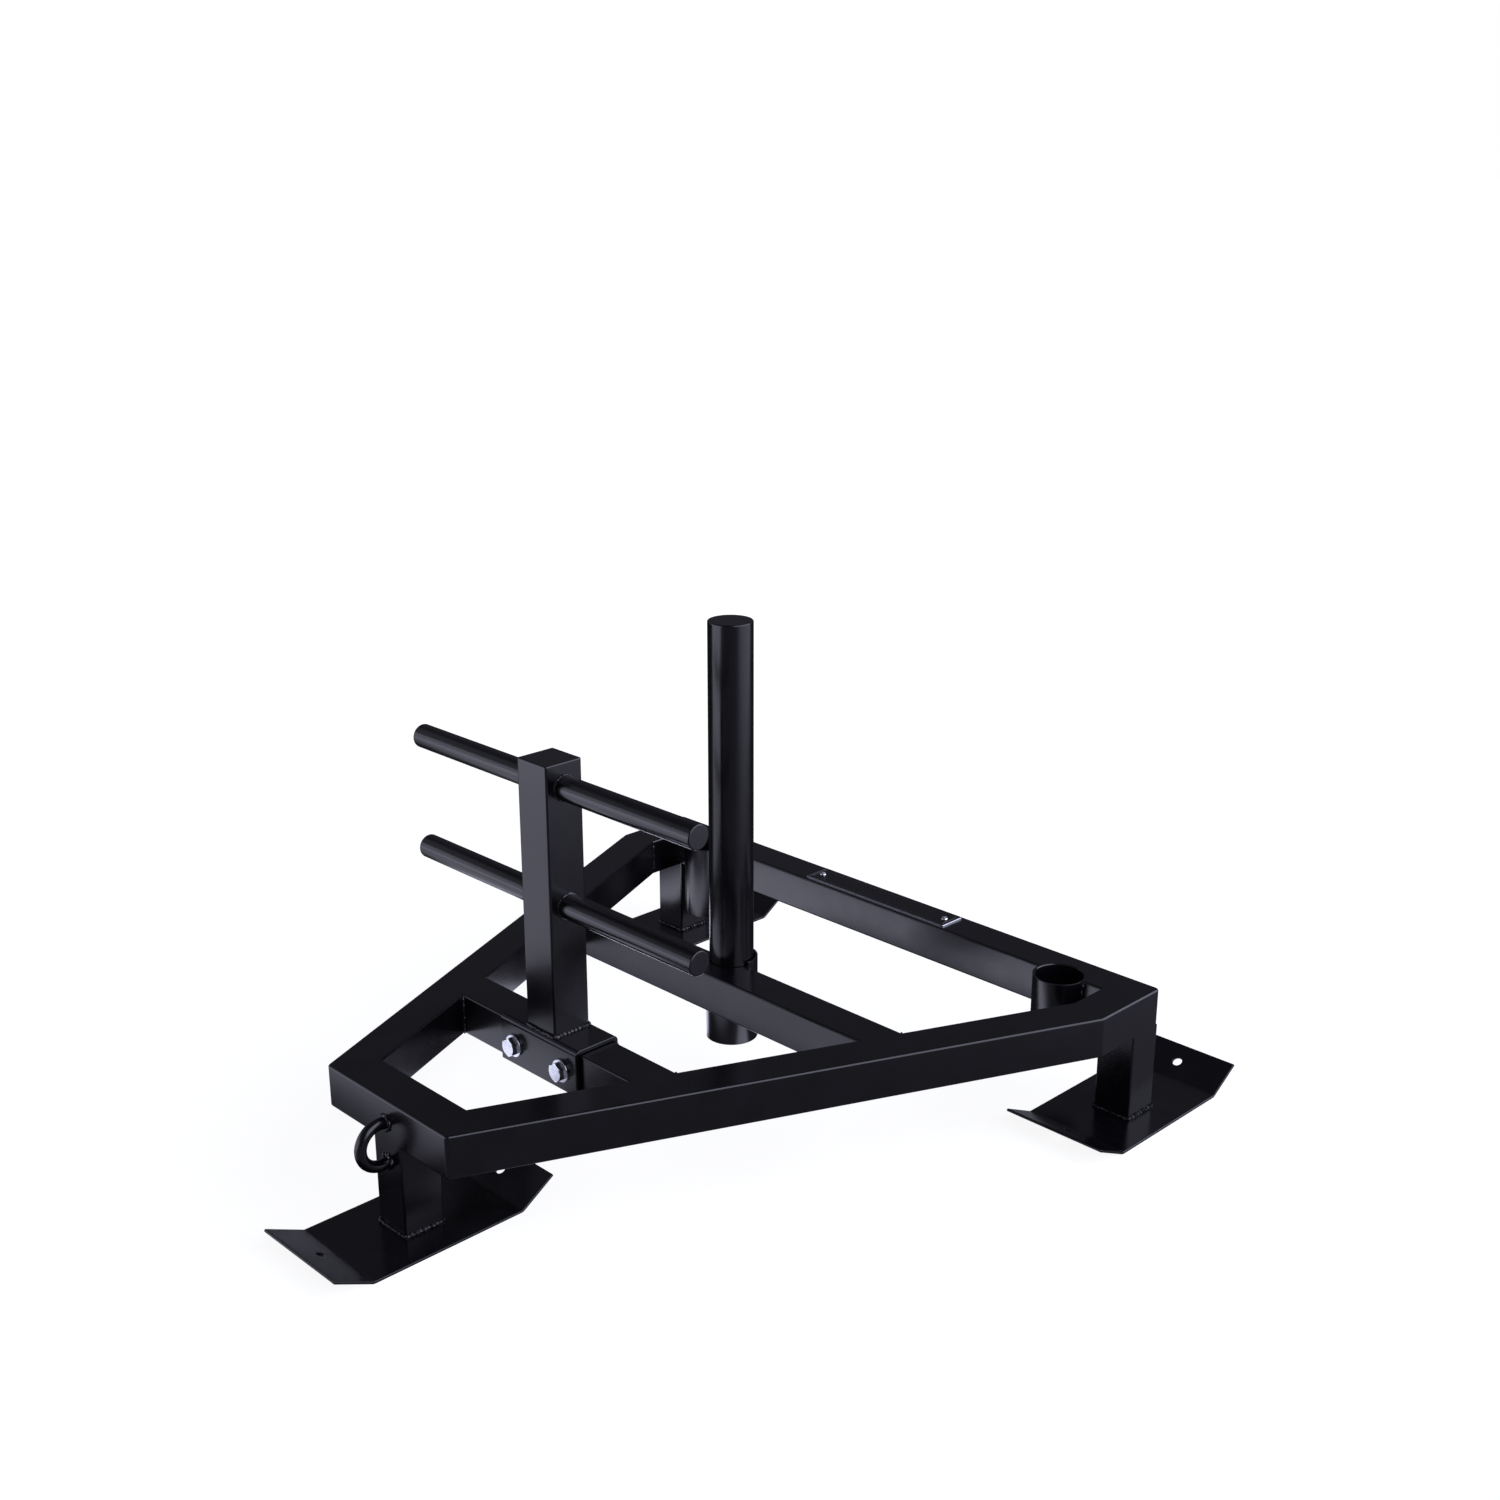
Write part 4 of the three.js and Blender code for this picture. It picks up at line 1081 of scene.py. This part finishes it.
class SLED_OT_bolts(bpy.types.Operator):
    """Bolt the saddle to the crossbar: two bolts with washers and nuts"""

    bl_idname = "sled.bolts"
    bl_label = "Bolts"

    # A hexagon's corners are chamfered from just inside its flats, and a nut's bore is countersunk
    rim_share = 0.96
    slope = math.tan(math.radians(30))
    sink = 0.7 * MM

    def execute(self, context):
        sizes = context.scene.sled_sizes
        saddle_front, saddle_rear = low("mast_saddle").y, high("mast_saddle").y
        for side, _ in SIDES:
            bolt, nut = f"{side}_saddle_bolt", f"{side}_bolt_nut"
            front, rear = f"{side}_bolt_front_washer", f"{side}_bolt_rear_washer"
            centre = middle(bolt)
            centre.y = 0
            washer = half_width(front)
            for node, start, end in (
                (front, low(front).y, saddle_front), (rear, saddle_rear, high(rear).y),
            ):
                bore = sizes.bolt_hole / 2
                ring = [(bore, start), (washer, start), (washer, end), (bore, end)]
                add_plated(node, turned(rounded(ring, sizes.turned_edge, EASE_STEPS), centre, REARWARD))
            head = self.bolt_profile(low(bolt).y, low(front).y, high(bolt).y, sizes)
            add_plated(bolt, turned(head, centre, REARWARD, start=UP), sharp=BOLT_SHARP_ANGLE)
            profile = self.nut_profile(high(rear).y, high(nut).y, sizes)
            add_plated(nut, turned(profile, centre, REARWARD, start=UP), sharp=BOLT_SHARP_ANGLE)
        return {"FINISHED"}

    def hexagon(self, turn, sizes):
        """Radius of the hexagon, whose corners are at whole sixths of a turn."""
        return sizes.hex_flats / 2 / math.cos(turn % FACET - FACET / 2)

    def bolt_profile(self, crown, seat, tip, sizes):
        rim = self.rim_share * sizes.hex_flats / 2
        thread = sizes.thread / 2
        thread_start = tip - sizes.thread_length
        count = round(sizes.thread_length / sizes.thread_pitch * THREAD_STEPS)

        def profile(turn):
            corner = self.hexagon(turn, sizes)
            chamfered = crown + (corner - rim) * self.slope
            points = [(0, crown), (rim, crown), (corner, chamfered), (corner, seat), (thread, seat)]
            for i in range(count + 1):
                y = thread_start + (tip - thread_start) * i / count
                phase = ((y / sizes.thread_pitch) - turn / TURN) % 1
                # The thread fades in from the shank and is chamfered at the tip
                depth = sizes.thread_depth * abs(2 * phase - 1) * min(1, i / THREAD_STEPS)
                chamfer = max(0, sizes.thread_depth - (tip - y))
                points.append((thread - max(depth, chamfer), y))
            points.append((0, tip))
            return points

        return profile

    def nut_profile(self, seat, end, sizes):
        rim = self.rim_share * sizes.hex_flats / 2
        bore = sizes.thread / 2
        mouth = bore + self.sink

        def profile(turn):
            corner = self.hexagon(turn, sizes)
            drop = (corner - rim) * self.slope
            return [
                (mouth, seat), (rim, seat), (corner, seat + drop), (corner, end - drop), (rim, end),
                (mouth, end), (bore, end - self.sink), (bore, seat + self.sink),
            ]

        return profile


class SLED_OT_weight_post(bpy.types.Operator):
    """Stand the weight post in its sleeve"""

    bl_idname = "sled.weight_post"
    bl_label = "Weight post"

    def execute(self, context):
        sizes = context.scene.sled_sizes
        radius = half_width("weight_post")
        foot, top = low("weight_post_foot").z, high("weight_post_cap").z
        lower_joint, upper_joint = foot + 2 * sizes.plug_edge, top - 2 * sizes.plug_edge
        steps = 2 * EASE_STEPS
        cap = rod(radius, upper_joint, top)
        cap = [cap[0], *rounded(cap[1:], sizes.plug_edge, steps, closed=False)]
        plug = rod(radius, foot, lower_joint)
        plug = [*rounded(plug[:3], sizes.plug_edge, steps, closed=False), plug[3]]
        for node, profile in (
            ("weight_post", rod(radius, lower_joint, upper_joint)),
            ("weight_post_cap", cap), ("weight_post_foot", plug),
        ):
            mesh = turned(profile, axle("weight_post"), UP)
            add_coated(node, mesh, black_powder_coat_rubbed_post, body="post")
        return {"FINISHED"}


class SLED_OT_name_plate(bpy.types.Operator):
    """Fix the blank name plate to the rear bar"""

    bl_idname = "sled.name_plate"
    bl_label = "Name plate"

    # The plate: its milled edge, its sunk panel, and the raised line round the panel with its sloped sides
    chamfer = 0.4 * MM
    border = 2.2 * MM
    recess = 0.35 * MM
    line_inset = 4.6 * MM
    line_width = 0.7 * MM
    line_slope = 0.2 * MM
    corner = 2.5 * MM
    least_corner = 0.6 * MM

    # A rivet: rings of its dome, and its cross by shares of the dome's radius and rise and of its arms
    dome_rings = 14
    arm_length = 0.62
    arm_width = 0.16
    cross_depth = 0.5
    cross_slope = 0.3

    def execute(self, context):
        self.make_plate()
        for side, _ in SIDES:
            self.make_rivet(f"{side}_plate_rivet")
        return {"FINISHED"}

    def make_plate(self):
        node = "name_plate"
        place, lower, upper = middle(node), low(node), high(node)
        top = upper.z
        sunk = top - self.recess
        line_end = self.line_inset + self.line_width
        milled = [(0, FRAME_TOP), (0, top - self.chamfer), (self.chamfer, top)]
        enamelled = [
            (self.border, top), (self.border + self.recess, sunk), (self.line_inset, sunk),
            (self.line_inset + self.line_slope, top), (line_end, top), (line_end + self.line_slope, sunk),
        ]
        rings = []
        for inset, z in milled + enamelled:
            corners = rectangle(half_width(node) - inset, (upper.y - lower.y) / 2 - inset)
            radius = max(self.corner - inset, self.least_corner)
            rings.append([(place.x + p.x, place.y + p.y, z) for p in rounded(corners, radius)])
        mesh = skin(rings)
        mesh.faces.ensure_lookup_table()
        for face in mesh.faces[:(len(milled) - 1) * len(rings[0])]:
            face.material_index = 1
        finishes = [finish(black_stoved_enamel), finish(milled_aluminium)]
        add_piece(f"{node}_enamelled", mesh, finishes, PLATE_SLOT, [node])

    def make_rivet(self, node):
        """A low dome with a cross cut in it."""
        lower, upper = low(node), high(node)
        radius = half_width(node)
        seat = high("name_plate").z
        rise = upper.z - seat
        arm, width, depth = self.arm_length * radius, self.arm_width * radius, self.cross_depth * rise
        slope = self.cross_slope * width

        def profile(turn):
            points = [(0, lower.z), (radius / 2, lower.z), (radius / 2, seat), (radius, seat)]
            for i in range(1, self.dome_rings + 1):
                climb = QUARTER * i / self.dome_rings
                r = radius * math.cos(climb) if i < self.dome_rings else 0
                short, long = sorted((abs(r * math.cos(turn)), abs(r * math.sin(turn))))
                inside = min((width - short) / slope, (arm - long) / slope)
                cut = depth * min(1, max(0, inside))
                points.append((r, seat + rise * math.sin(climb) - cut))
            return points

        add_plated(node, turned(profile, axle(node), UP))


class SLED_OT_welds(bpy.types.Operator):
    """Lay the weld beads of every joint"""

    bl_idname = "sled.welds"
    bl_label = "Welds"

    # Beads round the handles and up the frame's corners, as shares of a full bead
    handle_bead = 0.6
    corner_bead = 0.5

    def execute(self, context):
        sizes = context.scene.sled_sizes
        self.weld_feet(sizes)
        self.weld_mast(sizes)
        self.weld_sleeves()
        self.weld_cross_tubes()
        self.weld_corners(sizes)
        self.weld_tow_eye(sizes)
        return {"FINISHED"}

    def ring_round_tube(self, place, level, sizes):
        """A bead round the foot of a square tube."""
        centre = Vector((place.x, place.y, level))
        path = [centre + p.to_3d() for p in square(TUBE, sizes.tube_corner)]
        return path, facing_from(centre, UP), True

    def weld_feet(self, sizes):
        for foot in ("front", "left_rear", "right_rear"):
            node = f"{foot}_leg"
            place, lower, upper = middle(node), low(node), high(node)
            # Set up a little on the ski, so that no ripple comes out below its sole
            beads = [self.ring_round_tube(place, sizes.ski_sheet + sizes.bead / 3, sizes)]
            inner = 0 if foot == "front" else -1 if foot == "right_rear" else 1
            inset = sizes.tube_corner
            for x, side in ((lower.x, -1), (upper.x, 1)):
                if inner in (0, side):
                    path = [Vector((x, y, FRAME_UNDERSIDE)) for y in (lower.y + inset, upper.y - inset)]
                    beads.append((path, facing(side, 0, -1)))
            if inner:
                path = [Vector((x, lower.y, FRAME_UNDERSIDE)) for x in (lower.x + inset, upper.x - inset)]
                beads.append((path, facing(0, -1, -1)))
            add_welds(f"{foot}_leg_welds", beads)

    def weld_mast(self, sizes):
        place = middle("mast")
        add_welds("mast_foot_weld", [self.ring_round_tube(place, high("mast_saddle").z, sizes)])
        for node in ("upper_handle", "lower_handle"):
            level = middle(node).z
            radius = (high(node).z - low(node).z) / 2
            beads = []
            for _, side in SIDES:
                centre = Vector((side * HALF_TUBE, place.y, level))
                path = arc(centre, REARWARD, UP, radius)
                beads.append((path, facing_from(centre, RIGHT * side), True, self.handle_bead))
            add_welds(f"{node}_welds", beads)

    def weld_sleeves(self):
        for node, bar, face in (
            ("weight_sleeve", "middle_bar", 1), ("left_pole_sleeve", "rear_bar", -1),
            ("right_pole_sleeve", "rear_bar", -1),
        ):
            place = middle(node)
            radius = half_width(node) + BEAD_STANDOFF
            wall = high(bar).y if face > 0 else low(bar).y
            lean = math.asin((wall - place.y) / radius)
            reach = radius * math.cos(lean)
            beads = []
            for _, side in SIDES:
                beads.append((upright(place.x + side * reach, wall), facing(side, face, 0)))
            # From one side of the bar to the other, round the part of the sleeve that the bar holds
            start = TURN / 2 - lean if face > 0 else lean
            sweep = TURN / 2 + 2 * lean * face
            low_centre = axle(node, FRAME_UNDERSIDE)
            path = arc(low_centre, RIGHT, REARWARD, radius, start, sweep)
            beads.append((path, facing_from(low_centre, -UP)))
            add_welds(f"{node}_welds", beads)

    def weld_cross_tubes(self):
        for node in ("mast_crossbar", "middle_bar"):
            beads = []
            for y, face in ((low(node).y, -1), (high(node).y, 1)):
                for _, side in SIDES:
                    beads.append((upright(side * side_rail_x(y, TUBE), y), facing(-side, face, 0)))
            add_welds(f"{node}_welds", beads)

    def weld_corners(self, sizes):
        """Slim beads up the inner corners of the frame, which stop below its ground top."""
        beads = []
        for corner in range(len(OUTLINE)):
            inner, outer = mitre_point(corner, TUBE), mitre_point(corner, 0)
            way = (inner - outer).normalized()
            path = upright(*inner, inset=2 * sizes.tube_corner)
            beads.append((path, facing(*way, 0), False, self.corner_bead))
        add_welds("frame_corner_welds", beads)

    def weld_tow_eye(self, sizes):
        radius = (high("tow_eye").z - low("tow_eye").z - sizes.eye_bar) / 2
        standoff = FRONT_FACE - (low("tow_eye").y + radius + sizes.eye_bar / 2)
        beads = []
        for _, side in SIDES:
            z = FRAME_UNDERSIDE + side * math.sqrt(radius ** 2 - standoff ** 2)
            centre = Vector((0, FRONT_FACE, z))
            path = arc(centre, RIGHT, UP, sizes.eye_bar / 2 + BEAD_STANDOFF)
            beads.append((path, facing_from(centre, -REARWARD), True))
        add_welds("tow_eye_welds", beads)


OPERATORS = (
    SLED_OT_studio, SLED_OT_frame_tubes, SLED_OT_legs_and_skis, SLED_OT_sleeves, SLED_OT_tow_eye,
    SLED_OT_mast, SLED_OT_bolts, SLED_OT_weight_post, SLED_OT_name_plate, SLED_OT_welds,
)


class VIEW3D_PT_push_sled(bpy.types.Panel):
    """Steps and settings of the push sled"""

    bl_label = "Push Sled"
    bl_idname = "VIEW3D_PT_push_sled"
    bl_space_type = "VIEW_3D"
    bl_region_type = "UI"
    bl_category = "Push Sled"

    def draw(self, context):
        layout = self.layout
        for operator in OPERATORS:
            layout.operator(operator.bl_idname)
        for group in (context.scene.sled_sizes, context.scene.sled_finishes, context.scene.sled_studio):
            box = layout.box()
            for name in group.bl_rna.properties.keys():
                if name not in ("rna_type", "name"):
                    box.prop(group, name)


GROUPS = {"sled_sizes": SledSizes, "sled_finishes": SledFinishes, "sled_studio": SledStudio}


def register():
    for group in (*GROUPS.values(), *OPERATORS, VIEW3D_PT_push_sled):
        bpy.utils.register_class(group)
    for name, group in GROUPS.items():
        setattr(bpy.types.Scene, name, PointerProperty(type=group))


def unregister():
    for name in GROUPS:
        delattr(bpy.types.Scene, name)
    for group in (VIEW3D_PT_push_sled, *reversed(OPERATORS), *GROUPS.values()):
        bpy.utils.unregister_class(group)


def main():
    register()
    for operator in OPERATORS:
        group, name = operator.bl_idname.split(".")
        getattr(getattr(bpy.ops, group), name)()


if __name__ == "__main__":
    main()
